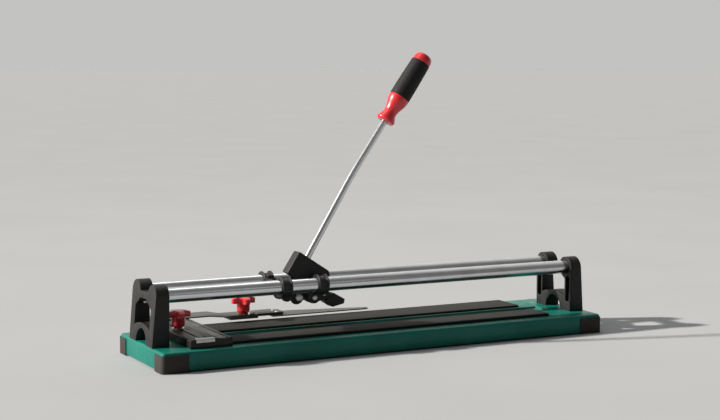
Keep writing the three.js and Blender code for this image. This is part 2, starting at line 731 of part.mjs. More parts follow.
// ---- Side gauge --------------------------------------------------------------------------------
const rootRight = GAUGE_KNOB_X + ROOT_LENGTH / 2 - 6;
const rootLeft = rootRight - ROOT_LENGTH;
const rootNear = GAUGE_KNOB_Y - ROOT_NEAR;
const rootFar = rootNear + ROOT_WIDTH;

function makeGaugeArm() {
  const plate = outline([
    [TRACK_LEFT, ARM_NEAR],
    [rootLeft - 30, ARM_NEAR],
    [rootLeft - 8, rootNear + 2],
    [rootRight, rootNear + 2],
    [rootRight, rootFar - 2],
    [rootLeft - 6, rootFar - 2],
    [rootLeft - 18, SLIDE_FAR],
    [TRACK_LEFT, SLIDE_FAR],
  ]);
  const holes = [...armScrews, gaugeKnobAt].map((at) =>
    bar("z", STUD_RADIUS + GAP, ARM_BOTTOM - 1, ARM_TOP + 1, at, 16),
  );
  return cut(prism("z", plate, ARM_BOTTOM, ARM_TOP), ...holes);
}

const rivets = [0.3, 0.7].map((share) => [
  HOLDER_END - RULER_OVERLAP / 2,
  RULER_NEAR + share * RULER_WIDTH,
]);

// The ruler's root: it lies under the arm and carries the ruler on its long tongue.
function makeRulerHolder() {
  const shape = outline([
    [rootLeft, rootNear],
    [rootRight, rootNear],
    [rootRight + 4, rootNear + 16],
    [HOLDER_END - 4, rootNear + 16],
    [HOLDER_END, rootNear + 20],
    [HOLDER_END, rootFar],
    [HOLDER_END - 14, rootFar + 9],
    [rootRight + 14, rootFar + 9],
    [rootRight, rootFar],
    [rootLeft, rootFar],
  ]);
  const top = ARM_BOTTOM - 0.1;
  const holes = rivets.map((at) => bar("z", RIVET_RADIUS + GAP, ROOT_BOTTOM - 1, top + 1, at, 12));
  const pivot = bar("z", STUD_RADIUS + GAP, ROOT_BOTTOM - 1, top + 1, gaugeKnobAt, 16);
  return cut(prism("z", shape, ROOT_BOTTOM, top), pivot, ...holes);
}

function makeRuler() {
  const start = HOLDER_END - RULER_OVERLAP;
  const shape = outline([
    [start, RULER_NEAR],
    [RULER_END - 6, RULER_NEAR],
    [RULER_END, RULER_NEAR + 5],
    [RULER_END, RULER_NEAR + RULER_TIP],
    [HOLDER_END + 30, RULER_NEAR + RULER_WIDTH],
    [start, RULER_NEAR + RULER_WIDTH],
  ]);
  const holes = rivets.map((at) =>
    bar("z", RIVET_RADIUS + GAP, ROOT_BOTTOM - RULER_THICK - 1, ROOT_BOTTOM + 1, at, 12),
  );
  return cut(prism("z", shape, ROOT_BOTTOM - RULER_THICK, ROOT_BOTTOM), ...holes);
}

function makeRivet(at) {
  const head = bar("z", RIVET_RADIUS + 1.5, ARM_BOTTOM - 0.1, ARM_BOTTOM + 1.2, at, 12, RIVET_RADIUS);
  return join(head, bar("z", RIVET_RADIUS, ROOT_BOTTOM - RULER_THICK, ARM_BOTTOM + 0.5, at, 12));
}

function makeGauge() {
  const gauge = new THREE.Group();
  const [plateLeft, plateRight] = [TRACK_LEFT + GAP, TRACK_RIGHT - GAP];
  const [plateFront, plateTop] = [-FENCE_FRONT - END_PLATE_THICK, SLIDE_TOP + END_PLATE_THICK];
  const endPlate = join(
    box(plateLeft, plateRight, plateFront, -FENCE_FRONT, SLIDE_TOP - END_PLATE_HEIGHT, plateTop),
    box(plateLeft, plateRight, plateFront, END_PLATE_DEPTH - FENCE_FRONT, SLIDE_TOP, plateTop),
  );
  gauge.add(
    piece("scale_slide", makeScaleSlide(), BLACK_ANODISED),
    piece("slide_end_plate", endPlate, ZINC),
    piece("gauge_arm", makeGaugeArm(), GREY_STEEL),
  );
  armScrews.forEach((at, i) => {
    const screw = screwDown(RIVET_RADIUS, RIVET_RADIUS * 2, 2.4, ARM_TOP, SLIDE_TOP - 3.5, at);
    gauge.add(piece(`arm_screw_${SIDES[i][0]}`, screw, ZINC));
  });
  const pointer = box(
    GAUGE_KNOB_X + 4.5,
    GAUGE_KNOB_X + 16,
    rootNear + 2.5,
    rootNear + 6.5,
    ARM_TOP,
    ARM_TOP + POINTER_HEIGHT,
  );
  gauge.add(
    piece("angle_pointer", pointer, WHITE_PLASTIC),
    piece("ruler_holder", makeRulerHolder(), GREY_STEEL),
    piece("gauge_ruler", makeRuler(), GREY_STEEL),
  );
  rivets.forEach((at, i) => gauge.add(piece(`ruler_rivet_${SIDES[i][0]}`, makeRivet(at), ZINC)));
  gauge.add(makeKnobSet("gauge", gaugeKnobAt, ARM_TOP, ROOT_BOTTOM));
  return gauge;
}

// ---- Carriage ----------------------------------------------------------------------------------
// All carriage shapes are drawn about the middle of the carriage, at the height of the rail axes.
function makeCheek(side) {
  const [left, right] = [-BUSH_PITCH / 2 - BUSH_LENGTH / 2, BUSH_PITCH / 2 + BUSH_LENGTH / 2];
  const shape = new THREE.Shape();
  shape.moveTo(left, CHEEK_RISE);
  shape.lineTo(left, -CHEEK_DROP + 8);
  shape.absarc(STOP_X, -STOP_DROP, LOBE_RADIUS, Math.PI, 2 * Math.PI);
  shape.lineTo(STOP_X + LOBE_RADIUS, -CHEEK_DROP);
  shape.lineTo(PIVOT_X - LOBE_RADIUS, -CHEEK_DROP);
  shape.absarc(PIVOT_X, -PIVOT_DROP, LOBE_RADIUS, Math.PI, 2 * Math.PI);
  shape.lineTo(right, -CHEEK_DROP + 4);
  shape.lineTo(right, CHEEK_RISE);
  shape.closePath();
  const [y0, y1] = side < 0 ? [-CHEEK_OUTER, -CHEEK_INNER] : [CHEEK_INNER, CHEEK_OUTER];
  return prism("y", shape, y0, y1);
}

// The cradle that holds one rear bush: it wraps the bush's waist from the inside and from below.
function makeCradle(x) {
  const [outer, inner] = [FLANGE_RADIUS - 0.6, BUSH_RADIUS + GAP];
  const half = BUSH_LENGTH / 2 - FLANGE_THICK - GAP;
  const open = (-8 * Math.PI) / 180;
  const lip = (125 * Math.PI) / 180;
  const shape = new THREE.Shape();
  shape.moveTo(CHEEK_OUTER - 1, -outer - 2);
  shape.lineTo(RAIL_Y, -outer - 2);
  shape.absarc(RAIL_Y, 0, outer, -Math.PI / 2.4, open);
  shape.absarc(RAIL_Y, 0, inner, open, lip - 2 * Math.PI, true);
  shape.lineTo(CHEEK_OUTER - 1, inner - 2);
  shape.closePath();
  return prism("x", shape, x - half, x + half, 10);
}

const bushPlaces = [-BUSH_PITCH / 2, BUSH_PITCH / 2];

function makeCarriageBody() {
  const cheeks = SIDES.map(([, side]) => makeCheek(side));
  const cradles = join(...bushPlaces.map(makeCradle));
  const frontCradles = solidOf(geometryOf(cradles).rotateZ(Math.PI));
  const left = -BUSH_PITCH / 2 - BUSH_LENGTH / 2;
  const bridge = box(left, left + BRIDGE_THICK, -CHEEK_INNER - 1, CHEEK_INNER + 1, -CHEEK_DROP + 8, CHEEK_RISE);
  return cut(
    join(...cheeks, cradles, frontCradles, bridge),
    bar("y", PIVOT_RADIUS + GAP, -RAIL_Y, RAIL_Y, [PIVOT_X, -PIVOT_DROP]),
  );
}

// A plastic bush shaped like a spool, bored for the rail.
function makeBush(side, x) {
  const half = BUSH_LENGTH / 2;
  const at = [side * RAIL_Y, 0];
  return cut(
    join(
      bar("x", BUSH_RADIUS, x - half, x + half, at),
      bar("x", FLANGE_RADIUS, x - half, x - half + FLANGE_THICK, at),
      bar("x", FLANGE_RADIUS, x + half - FLANGE_THICK, x + half, at),
    ),
    bar("x", RAIL_RADIUS + GAP, x - half - 1, x + half + 1, at),
  );
}

// The lever's pin across the carriage, riveted over at both ends.
function makePivotPin() {
  const at = [PIVOT_X, -PIVOT_DROP];
  const [start, end, head] = [CHEEK_OUTER + 0.1, CHEEK_OUTER + 1.6, PIVOT_RADIUS + 1.4];
  return join(
    bar("y", PIVOT_RADIUS, -start - 1, start + 1, at),
    bar("y", PIVOT_RADIUS, -end, -start, at, 16, head),
    bar("y", head, start, end, at, 16, PIVOT_RADIUS),
  );
}

function makeCarriage() {
  const carriage = new THREE.Group();
  carriage.position.set(CARRIAGE_X, 0, RAIL_Z);
  carriage.add(piece("carriage_body", makeCarriageBody(), BLACK_CASTING));
  for (const [sideName, side] of SIDES)
    bushPlaces.forEach((x, i) =>
      carriage.add(piece(`bush_${sideName}_${ENDS[i][0]}`, makeBush(side, x), BLACK_PLASTIC)),
    );
  carriage.add(piece("pivot_pin", makePivotPin(), ZINC), makeLever());
  return carriage;
}

// ---- Lever -------------------------------------------------------------------------------------
// Drawn with the lever upright: X = 0, Z = 0 is its pivot and the rod stands along Z.
function makeLeverBlock() {
  const shape = outline([
    [BLOCK_LEFT, BLOCK_FLOOR],
    [-14, BLOCK_FLOOR],
    [-9, 8],
    [-9, -7],
    [-5, -10],
    [5, -10],
    [9, -6],
    [FOOT_PIN_X + 3, FOOT_PIN_Z - FOOT_EAR_RADIUS],
    [FOOT_PIN_X + FOOT_EAR_RADIUS, FOOT_PIN_Z - 3],
    [FOOT_PIN_X + FOOT_EAR_RADIUS, FOOT_PIN_Z + 3],
    [FOOT_PIN_X + 3, FOOT_PIN_Z + FOOT_EAR_RADIUS],
    [BLOCK_RIGHT, FOOT_PIN_Z + FOOT_EAR_RADIUS + 5],
    [BLOCK_RIGHT, BLOCK_TOP - 6],
    [BLOCK_RIGHT - 6, BLOCK_TOP],
    [BLOCK_LEFT + 1.5, BLOCK_TOP],
    [BLOCK_LEFT, BLOCK_TOP - 1.5],
  ]);
  const tongueSlot = box(
    FOOT_PIN_X - FOOT_EAR_RADIUS - 1,
    FOOT_PIN_X + 2 * FOOT_EAR_RADIUS,
    -TONGUE_HALF - GAP,
    TONGUE_HALF + GAP,
    FOOT_PIN_Z - 2 * FOOT_EAR_RADIUS,
    FOOT_PIN_Z + FOOT_EAR_RADIUS + 2,
  );
  const pivotBoss = bar("y", PIVOT_RADIUS + 3.5, -TONGUE_HALF - 1, TONGUE_HALF + 1);
  return cut(
    join(cut(prism("y", shape, -BLOCK_HALF, BLOCK_HALF), tongueSlot), pivotBoss),
    bar("y", PIVOT_RADIUS + GAP, -BLOCK_HALF - 1, BLOCK_HALF + 1),
    rodSolid(ROD_RADIUS + GAP, -GAP),
    bar("z", STEM_RADIUS + GAP, 0, STEM_TOP + GAP, [WHEEL_X, 0]),
    bar("x", CLAMP_BOLT_RADIUS + GAP, ROD_X, BLOCK_RIGHT + 1, [0, CLAMP_BOLT_Z], 16),
    bar("y", FOOT_PIN_RADIUS + GAP, -BLOCK_HALF - 1, BLOCK_HALF + 1, [FOOT_PIN_X, FOOT_PIN_Z], 16),
    bar("y", RIVET_RADIUS + GAP, 0, BLOCK_HALF + 1, [WHEEL_X, LOCK_SCREW_Z], 12),
  );
}

// The corners of the rod's centre line: foot, start, middle and end of its bend, and tip.
function rodCorners(start) {
  const [low, high] = [leaning(ROD_TILT), leaning(ROD_TILT + ROD_BEND)];
  const foot = new THREE.Vector3(ROD_X, 0, ROD_SEAT);
  const bendStart = foot.clone().addScaledVector(low, ROD_LOWER);
  const elbow = bendStart.clone().addScaledVector(low, ROD_BEND_LENGTH / 2);
  const bendEnd = elbow.clone().addScaledVector(high, ROD_BEND_LENGTH / 2);
  const tip = bendEnd.clone().addScaledVector(high, ROD_UPPER + ROD_IN_GRIP);
  return [foot.addScaledVector(low, start), bendStart, elbow, bendEnd, tip];
}

// The rod, or with a larger radius the bore that takes it.
function rodSolid(radius, start = 0) {
  const [foot, bendStart, elbow, bendEnd, tip] = rodCorners(start);
  const path = new THREE.CurvePath();
  path.add(new THREE.LineCurve3(foot, bendStart));
  path.add(new THREE.QuadraticBezierCurve3(bendStart, elbow, bendEnd));
  path.add(new THREE.LineCurve3(bendEnd, tip));
  const section = new THREE.Shape().absarc(0, 0, radius, 0, 2 * Math.PI);
  return solidOf(
    new THREE.ExtrudeGeometry(section, { steps: 13, extrudePath: path, curveSegments: 8 }),
  );
}

function makeGrip() {
  const core = turned("z", [
    [0, 0],
    [13, 0],
    [16.6, 1.5],
    [17.3, 4],
    [15.6, 9],
    [12.6, 16],
    [12.3, 22],
    [14.2, 30],
    [17.6, 40],
    [18.8, 47],
    [SLEEVE_LOW_RADIUS, SLEEVE_START],
    [CORE_RADIUS, SLEEVE_START],
    [CORE_RADIUS, SLEEVE_END],
    [0, SLEEVE_END],
  ]);
  const sleeve = cut(
    turned("z", [
      [0, SLEEVE_START + GAP],
      [SLEEVE_LOW_RADIUS, SLEEVE_START + GAP],
      [(SLEEVE_LOW_RADIUS + SLEEVE_HIGH_RADIUS) / 2 + 0.4, (SLEEVE_START + SLEEVE_END) / 2],
      [SLEEVE_HIGH_RADIUS, SLEEVE_END],
      [0, SLEEVE_END],
    ]),
    bar("z", CORE_RADIUS + GAP, SLEEVE_START - 1, SLEEVE_END + 1),
  );
  const cap = turned("z", [
    [0, SLEEVE_END + GAP],
    [SLEEVE_HIGH_RADIUS, SLEEVE_END + GAP],
    [SLEEVE_HIGH_RADIUS - 0.4, SLEEVE_END + 6],
    [SLEEVE_HIGH_RADIUS - 1.5, SLEEVE_END + 11],
    [SLEEVE_HIGH_RADIUS - 4.6, SLEEVE_END + 15.4],
    [SLEEVE_HIGH_RADIUS - 10, GRIP_LENGTH - 0.6],
    [0, GRIP_LENGTH],
  ]);
  const rodBore = bar("z", ROD_RADIUS + GAP, -1, ROD_IN_GRIP + GAP, [0, 0], 16);
  const grip = new THREE.Group();
  const [, , , bendEnd] = rodCorners(0);
  grip.position.copy(bendEnd.addScaledVector(leaning(ROD_TILT + ROD_BEND), ROD_UPPER));
  grip.rotation.y = radians(ROD_TILT + ROD_BEND);
  grip.add(
    piece("grip_core", cut(core, rodBore), RED_PLASTIC),
    piece("grip_sleeve", sleeve, GRIP_RUBBER),
    piece("grip_cap", cap, RED_PLASTIC),
  );
  return grip;
}

// The wheel's holder: a round stem in the block over a fork, drawn about the wheel's axle.
function makeWheelCarrier() {
  const stem = bar("z", STEM_RADIUS, WHEEL_RADIUS + 1, STEM_TOP - WHEEL_Z);
  const forkShape = new THREE.Shape();
  forkShape.moveTo(-FORK_RADIUS, 0);
  forkShape.absarc(0, 0, FORK_RADIUS, Math.PI, 2 * Math.PI);
  forkShape.lineTo(FORK_RADIUS, WHEEL_RADIUS + 3);
  forkShape.lineTo(STEM_RADIUS, WHEEL_RADIUS + 7);
  forkShape.lineTo(-STEM_RADIUS, WHEEL_RADIUS + 7);
  forkShape.lineTo(-FORK_RADIUS, WHEEL_RADIUS + 3);
  forkShape.closePath();
  const slotHalf = WHEEL_THICK / 2 + GAP;
  const slot = box(
    -2 * WHEEL_RADIUS,
    2 * WHEEL_RADIUS,
    -slotHalf,
    slotHalf,
    -2 * WHEEL_RADIUS,
    WHEEL_RADIUS + 1,
  );
  const fork = cut(prism("y", forkShape, -FORK_HALF, FORK_HALF), slot);
  const holder = cut(join(fork, stem), bar("y", AXLE_RADIUS + GAP, -20, 20, [0, 0], 16));
  const [bore, half] = [AXLE_RADIUS + GAP, WHEEL_THICK / 2];
  const wheel = turned("y", [
    [bore, -half],
    [WHEEL_RADIUS - half, -half],
    [WHEEL_RADIUS, 0],
    [WHEEL_RADIUS - half, half],
    [bore, half],
    [bore, -half],
  ]);
  const axle = join(
    bar("y", AXLE_RADIUS, -FORK_HALF - 1, FORK_HALF + AXLE_NUT, [0, 0], 16),
    hex("y", AXLE_HEX, -FORK_HALF - AXLE_HEAD, -FORK_HALF),
  );
  const nut = cut(
    hex("y", AXLE_HEX - 1.4, FORK_HALF, FORK_HALF + AXLE_NUT),
    bar("y", AXLE_RADIUS + GAP, 0, 20, [0, 0], 16),
  );
  const carrier = new THREE.Group();
  carrier.position.set(WHEEL_X, 0, WHEEL_Z);
  carrier.add(
    piece("wheel_holder", holder, BLACK_CASTING),
    piece("scoring_wheel", wheel, GREY_STEEL),
    piece("wheel_axle_bolt", axle, ZINC),
    piece("wheel_axle_nut", nut, ZINC),
  );
  return carrier;
}

// The presser foot: a tongue on its pin, and a bar whose bevelled end bears on the tile.
function makePresserFoot() {
  const start = FOOT_EAR_RADIUS + 1.5;
  const end = FOOT_LENGTH;
  const [low, high] = [FOOT_BOTTOM - FOOT_PIN_Z, FOOT_TOP - FOOT_PIN_Z];
  const body = prism(
    "y",
    outline([
      [start, low],
      [end - FOOT_CHAMFER, low],
      [end, low + FOOT_CHAMFER],
      [end - FOOT_NOSE, high + FOOT_RISE],
      [start + 5, high],
      [start, high - 5],
    ]),
    -BLOCK_HALF,
    BLOCK_HALF,
  );
  const tongueShape = new THREE.Shape();
  tongueShape.absarc(0, 0, FOOT_EAR_RADIUS - 1.6, Math.PI / 2, 1.5 * Math.PI);
  tongueShape.lineTo(start + 1, -FOOT_EAR_RADIUS + 1.6);
  tongueShape.lineTo(start + 1, FOOT_EAR_RADIUS - 1.6);
  tongueShape.closePath();
  const tongue = prism("y", tongueShape, -TONGUE_HALF, TONGUE_HALF);
  const foot = cut(
    join(body, tongue),
    bar("y", FOOT_PIN_RADIUS + GAP, -BLOCK_HALF - 1, BLOCK_HALF + 1, [0, 0], 16),
  );
  const group = new THREE.Group();
  group.position.set(FOOT_PIN_X, 0, FOOT_PIN_Z);
  group.add(piece("presser_foot", foot, BLACK_CASTING));
  return group;
}

function makeLever() {
  const lever = new THREE.Group();
  lever.position.set(PIVOT_X, 0, -PIVOT_DROP);
  lever.rotation.y = radians(LEVER_LEAN);
  const clampBolt = join(
    bar("x", CLAMP_BOLT_RADIUS, ROD_X + ROD_RADIUS + GAP + 0.1, BLOCK_RIGHT + 1, [0, CLAMP_BOLT_Z], 16),
    hex("x", CLAMP_BOLT_HEX, BLOCK_RIGHT + 0.2, BLOCK_RIGHT + CLAMP_BOLT_HEAD, [0, CLAMP_BOLT_Z]),
  );
  const lockScrew = join(
    bar("y", RIVET_RADIUS, STEM_RADIUS + GAP, BLOCK_HALF + 0.5, [WHEEL_X, LOCK_SCREW_Z], 12),
    bar("y", RIVET_RADIUS + 1, BLOCK_HALF + 0.1, BLOCK_HALF + 1.3, [WHEEL_X, LOCK_SCREW_Z], 12),
  );
  const footPin = bar(
    "y",
    FOOT_PIN_RADIUS,
    -BLOCK_HALF,
    BLOCK_HALF,
    [FOOT_PIN_X, FOOT_PIN_Z],
    16,
  );
  lever.add(
    piece("lever_block", makeLeverBlock(), BLACK_CASTING),
    piece("lever_rod", rodSolid(ROD_RADIUS), CHROME),
    piece("rod_clamp_bolt", clampBolt, ZINC),
    piece("wheel_lock_screw", lockScrew, ZINC),
    piece("foot_pin", footPin, ZINC),
    makeGrip(),
    makeWheelCarrier(),
    makePresserFoot(),
  );
  return lever;
}

// ---- Assembly ----------------------------------------------------------------------------------
const tileCutter = new THREE.Group();
tileCutter.add(makeBed(), makeFrame(), makeFence(), makeGauge(), makeCarriage());
tileCutter.add(
  makeKnobSet(
    "fence",
    fenceKnobAt,
    FENCE_TOP + WASHER_THICK,
    TRACK_FLOOR - STUD_DEPTH,
  ),
);

export default tileCutter;
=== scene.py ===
# %% [markdown]
# # A manual tile cutter
#
# The cutter is a folded steel bed with two foam pads and a breaking ridge, two chromed rails held
# between cast end supports, and a carriage that slides along them. The carriage carries a long
# lever with a soft grip, a scoring wheel and a presser foot. A fence and an angle gauge, each with
# a red clamping knob, set where the tile lies.
#
# The mechanical model is loaded first and stays where it is. This lesson builds a fine surface for
# each piece over it, gives each surface its finish, and lets each piece ride on the body that
# moves it. Everything is in metres, with X along the rails and Z up.

# %% Load the mechanical model
import json
import math

import bmesh
import bpy
from mathutils import Matrix, Vector


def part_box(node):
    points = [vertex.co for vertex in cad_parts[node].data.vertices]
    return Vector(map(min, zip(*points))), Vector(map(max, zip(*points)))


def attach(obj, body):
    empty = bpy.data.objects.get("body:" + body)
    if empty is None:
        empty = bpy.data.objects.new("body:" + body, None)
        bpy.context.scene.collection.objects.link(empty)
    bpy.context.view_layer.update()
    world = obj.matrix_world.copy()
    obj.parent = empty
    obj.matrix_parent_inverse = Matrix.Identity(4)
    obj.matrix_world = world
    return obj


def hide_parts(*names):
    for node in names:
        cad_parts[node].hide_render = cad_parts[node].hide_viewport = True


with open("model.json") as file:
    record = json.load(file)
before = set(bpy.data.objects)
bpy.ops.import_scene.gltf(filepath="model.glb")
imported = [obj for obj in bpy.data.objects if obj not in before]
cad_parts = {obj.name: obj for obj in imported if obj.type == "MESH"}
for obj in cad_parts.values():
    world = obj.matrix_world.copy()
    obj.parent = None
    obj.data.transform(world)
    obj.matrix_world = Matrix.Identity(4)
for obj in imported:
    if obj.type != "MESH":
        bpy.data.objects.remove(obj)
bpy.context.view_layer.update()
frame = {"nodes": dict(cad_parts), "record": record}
bpy.ops.object.select_all(action="DESELECT")
MM = 0.001  # one millimetre, in the metres that everything is placed in

# %% [markdown]
# ## The camera
#
# A long lens, well away from the object, keeps the rails nearly parallel. The view comes from the
# front left, a little above the bed. Yaw, pitch and roll are turned into three directions, which
# are the columns of the camera's matrix, because that needs no guess at the order of three angles.

# %% Camera
CAMERA_PLACE = Vector((-1.3018, -2.4197, 0.5272))
YAW, PITCH, ROLL = (math.radians(angle) for angle in (27.879, 5.988, 0.394))

forward = Vector((math.sin(YAW) * math.cos(PITCH), math.cos(YAW) * math.cos(PITCH), -math.sin(PITCH)))
level_right = Vector((math.cos(YAW), -math.sin(YAW), 0))
level_up = level_right.cross(forward)
right = math.cos(ROLL) * level_right + math.sin(ROLL) * level_up
up = right.cross(forward)

bpy.ops.object.camera_add()
camera = bpy.context.object
camera.name = "camera"
camera.matrix_world = Matrix.Translation(CAMERA_PLACE) @ Matrix((right, up, -forward)).transposed().to_4x4()
camera.data.lens = 77.27
camera.data.sensor_width = 36
camera.data.clip_end = 60
bpy.context.scene.camera = camera
print("camera looks along", [round(value, 3) for value in forward])

# %% [markdown]
# ## Colours and nodes
#
# Colours are written as the sRGB values a colour picker shows, and a renderer mixes light in
# linear values, so one function turns the first into the second. One more small function adds a
# node, sets its values and plugs in its links, which keeps each finish short enough to read.

# %% Colour and node helpers
def colour(code):
    """A linear RGBA colour from an sRGB code such as "#2f7a65"."""
    parts = [int(code[i : i + 2], 16) / 255 for i in (1, 3, 5)]
    linear = [part / 12.92 if part <= 0.04045 else ((part + 0.055) / 1.055) ** 2.4 for part in parts]
    return (*linear, 1)


def add_node(tree, kind, links=None, values=None, **settings):
    """One node with its settings, its socket values and its incoming links."""
    node = tree.nodes.new(kind)
    for name, value in settings.items():
        setattr(node, name, value)
    for socket, value in (values or {}).items():
        node.inputs[socket].default_value = value
    for socket, source in (links or {}).items():
        tree.links.new(source, node.inputs[socket])
    return node


def start_finish(name, values):
    """A new material, with its tree, its shader and the piece's own coordinates in metres."""
    finish = bpy.data.materials.new(name)
    finish.use_nodes = True
    tree = finish.node_tree
    shader = next(node for node in tree.nodes if node.type == "BSDF_PRINCIPLED")
    for socket, value in values.items():
        shader.inputs[socket].default_value = value
    place = add_node(tree, "ShaderNodeTexCoord").outputs["Object"]
    return finish, tree, shader, place


def stretched(tree, place, factors):
    """The same coordinates with each axis scaled, for grain that runs one way."""
    return add_node(tree, "ShaderNodeMapping", {"Vector": place}, {"Scale": factors}).outputs["Vector"]


def noise(tree, place, size_mm, detail=2.0, roughness=0.5):
    """Noise whose patches are about size_mm across."""
    values = {"Scale": 1000 / size_mm, "Detail": detail, "Roughness": roughness}
    return add_node(tree, "ShaderNodeTexNoise", {"Vector": place}, values).outputs["Fac"]


def between(tree, factor, low, high, start=0.3, end=0.7):
    """A colour that goes from low to high as the factor goes from start to end."""
    ramp = add_node(tree, "ShaderNodeValToRGB", {"Fac": factor})
    ramp.color_ramp.elements[0].position = start
    ramp.color_ramp.elements[0].color = colour(low)
    ramp.color_ramp.elements[1].position = end
    ramp.color_ramp.elements[1].color = colour(high)
    return ramp.outputs["Color"]


def spread(tree, factor, low, high, start=0.3, end=0.7):
    """A number that goes from low to high as the factor goes from start to end."""
    values = {"From Min": start, "From Max": end, "To Min": low, "To Max": high}
    return add_node(tree, "ShaderNodeMapRange", {"Value": factor}, values).outputs["Result"]


def raise_surface(tree, shader, height, depth_mm, strength):
    """Bump of a real depth on the shader's normal."""
    values = {"Distance": depth_mm * MM, "Strength": strength}
    bump = add_node(tree, "ShaderNodeBump", {"Height": height}, values)
    tree.links.new(bump.outputs["Normal"], shader.inputs["Normal"])


def worn_and_highlit_edges(tree, width_mm):
    """1 on sharp edges and 0 elsewhere, where a rounded normal leaves the true one; marks wear and painted
    highlight.
    """
    rounded = add_node(tree, "ShaderNodeBevel", values={"Radius": width_mm * MM}, samples=4)
    true = add_node(tree, "ShaderNodeNewGeometry").outputs["Normal"]
    links = {0: rounded.outputs["Normal"], 1: true}
    likeness = add_node(tree, "ShaderNodeVectorMath", links, operation="DOT_PRODUCT").outputs["Value"]
    return spread(tree, likeness, 1.0, 0.0, 0.86, 0.99)


def mixed(tree, factor, low, high):
    """A colour between two others, each a code or another node's colour."""
    node = add_node(tree, "ShaderNodeMix", {"Factor": factor}, data_type="RGBA")
    for socket, value in (("A", low), ("B", high)):
        if isinstance(value, str):
            node.inputs[socket].default_value = colour(value)
        else:
            tree.links.new(value, node.inputs[socket])
    return node.outputs["Result"]


print("helpers for colours and nodes are ready")

# %% [markdown]
# ## Painted and cast metal
#
# The bed is folded sheet steel with a green powder coat. Powder melts into a skin with a faint
# orange peel, about a millimetre from crest to crest, so its gloss is soft and uneven. The end
# supports, the carriage and the lever block are cast metal with a black textured paint, whose fine
# grit breaks up every highlight. On both paints the sharp edges are painted paler, partly as wear and
# partly as a painted highlight where light catches them. The grit is drawn nearly a millimetre
# across, coarser than real grit, because a finer one would not show at this distance.

# %% Powder coat and textured black paint
def powder_coat():
    values = {"IOR": 1.33, "Coat Weight": 0.04, "Coat Roughness": 0.3}
    finish, tree, shader, place = start_finish("green_powder_coat", values)
    patches = noise(tree, place, 60, 3)
    paint = between(tree, patches, "#00675a", "#037264")
    dust = spread(tree, noise(tree, place, 7, 4, 0.7), 0.0, 0.12, 0.52, 0.78)
    dusty = mixed(tree, dust, paint, "#3b8072")
    # Sharp edges are painted paler: partly wear, partly a painted highlight where light would catch them.
    rubbed_and_highlit = mixed(tree, worn_and_highlit_edges(tree, 1.6), dusty, "#3a8a78")
    tree.links.new(rubbed_and_highlit, shader.inputs["Base Color"])
    tree.links.new(spread(tree, noise(tree, place, 14, 3), 0.34, 0.52), shader.inputs["Roughness"])
    raise_surface(tree, shader, noise(tree, place, 1.1, 1), 0.05, 0.6)
    return finish


def cast_paint():
    finish, tree, shader, place = start_finish("textured_black_paint", {"IOR": 1.42})
    patches = noise(tree, place, 25, 3)
    paint = between(tree, patches, "#0f0f0f", "#181817")
    # Sharp edges are painted paler: partly wear, partly a painted highlight where light would catch them.
    rubbed_and_highlit = mixed(tree, worn_and_highlit_edges(tree, 1.2), paint, "#3d3c39")
    tree.links.new(rubbed_and_highlit, shader.inputs["Base Color"])
    tree.links.new(spread(tree, patches, 0.48, 0.62), shader.inputs["Roughness"])
    raise_surface(tree, shader, noise(tree, place, 0.9, 2, 0.6), 0.12, 0.7)
    return finish


GREEN_COAT = powder_coat()
BLACK_CAST = cast_paint()
print("made", GREEN_COAT.name, "and", BLACK_CAST.name)

# %% [markdown]
# ## Bare and plated metal
#
# The rails and the lever rod are steel tube and bar with polished chrome: almost a mirror, with
# faint polishing lines that run along the tube. Screws, studs and pins are zinc plated, which is
# duller and slightly blotchy. The gauge strips are grey steel that was brushed lengthwise. The
# fence is anodised aluminium, whose extrusion lines run along its length. All these lines are
# wider apart than real ones, so that they still show as a soft streak in the gloss.

# %% Chrome, zinc, grey steel and anodised aluminium
def chrome_plate(name, along):
    finish, tree, shader, place = start_finish(name, {"Metallic": 1.0})
    lines = noise(tree, stretched(tree, place, along), 0.7, 2)
    haze = noise(tree, place, 40, 3)
    tree.links.new(between(tree, haze, "#c9cbcd", "#d6d8d9"), shader.inputs["Base Color"])
    tree.links.new(spread(tree, lines, 0.16, 0.26), shader.inputs["Roughness"])
    raise_surface(tree, shader, lines, 0.004, 0.5)
    return finish


def zinc_plate():
    finish, tree, shader, place = start_finish("zinc_plated_steel", {"Metallic": 1.0})
    blotches = noise(tree, place, 3, 3)
    tree.links.new(between(tree, blotches, "#9a9b99", "#bcbdba"), shader.inputs["Base Color"])
    tree.links.new(spread(tree, blotches, 0.25, 0.42), shader.inputs["Roughness"])
    raise_surface(tree, shader, noise(tree, place, 0.6, 1), 0.02, 0.5)
    return finish


def brushed_grey_steel():
    finish, tree, shader, place = start_finish("brushed_grey_steel", {"Metallic": 0.55})
    strokes = noise(tree, stretched(tree, place, (0.03, 1, 1)), 0.5, 3)
    stains = noise(tree, place, 30, 4)
    bare = between(tree, strokes, "#403f3b", "#52514b")
    tree.links.new(mixed(tree, spread(tree, stains, 0, 0.35), bare, "#3f3e3a"), shader.inputs["Base Color"])
    tree.links.new(spread(tree, strokes, 0.38, 0.52), shader.inputs["Roughness"])
    raise_surface(tree, shader, strokes, 0.02, 0.5)
    return finish


def anodised_black():
    finish, tree, shader, place = start_finish("black_anodised_aluminium", {"Metallic": 0.35})
    lines = noise(tree, stretched(tree, place, (1, 0.02, 1)), 0.6, 2)
    # Sharp edges are painted pale grey: partly wear, partly a painted highlight along the ridges.
    rubbed_and_highlit = mixed(tree, worn_and_highlit_edges(tree, 1.1), between(tree, lines, "#0f100f", "#191a19"), "#6b6a64")
    tree.links.new(rubbed_and_highlit, shader.inputs["Base Color"])
    tree.links.new(spread(tree, lines, 0.36, 0.5), shader.inputs["Roughness"])
    raise_surface(tree, shader, lines, 0.02, 0.5)
    return finish


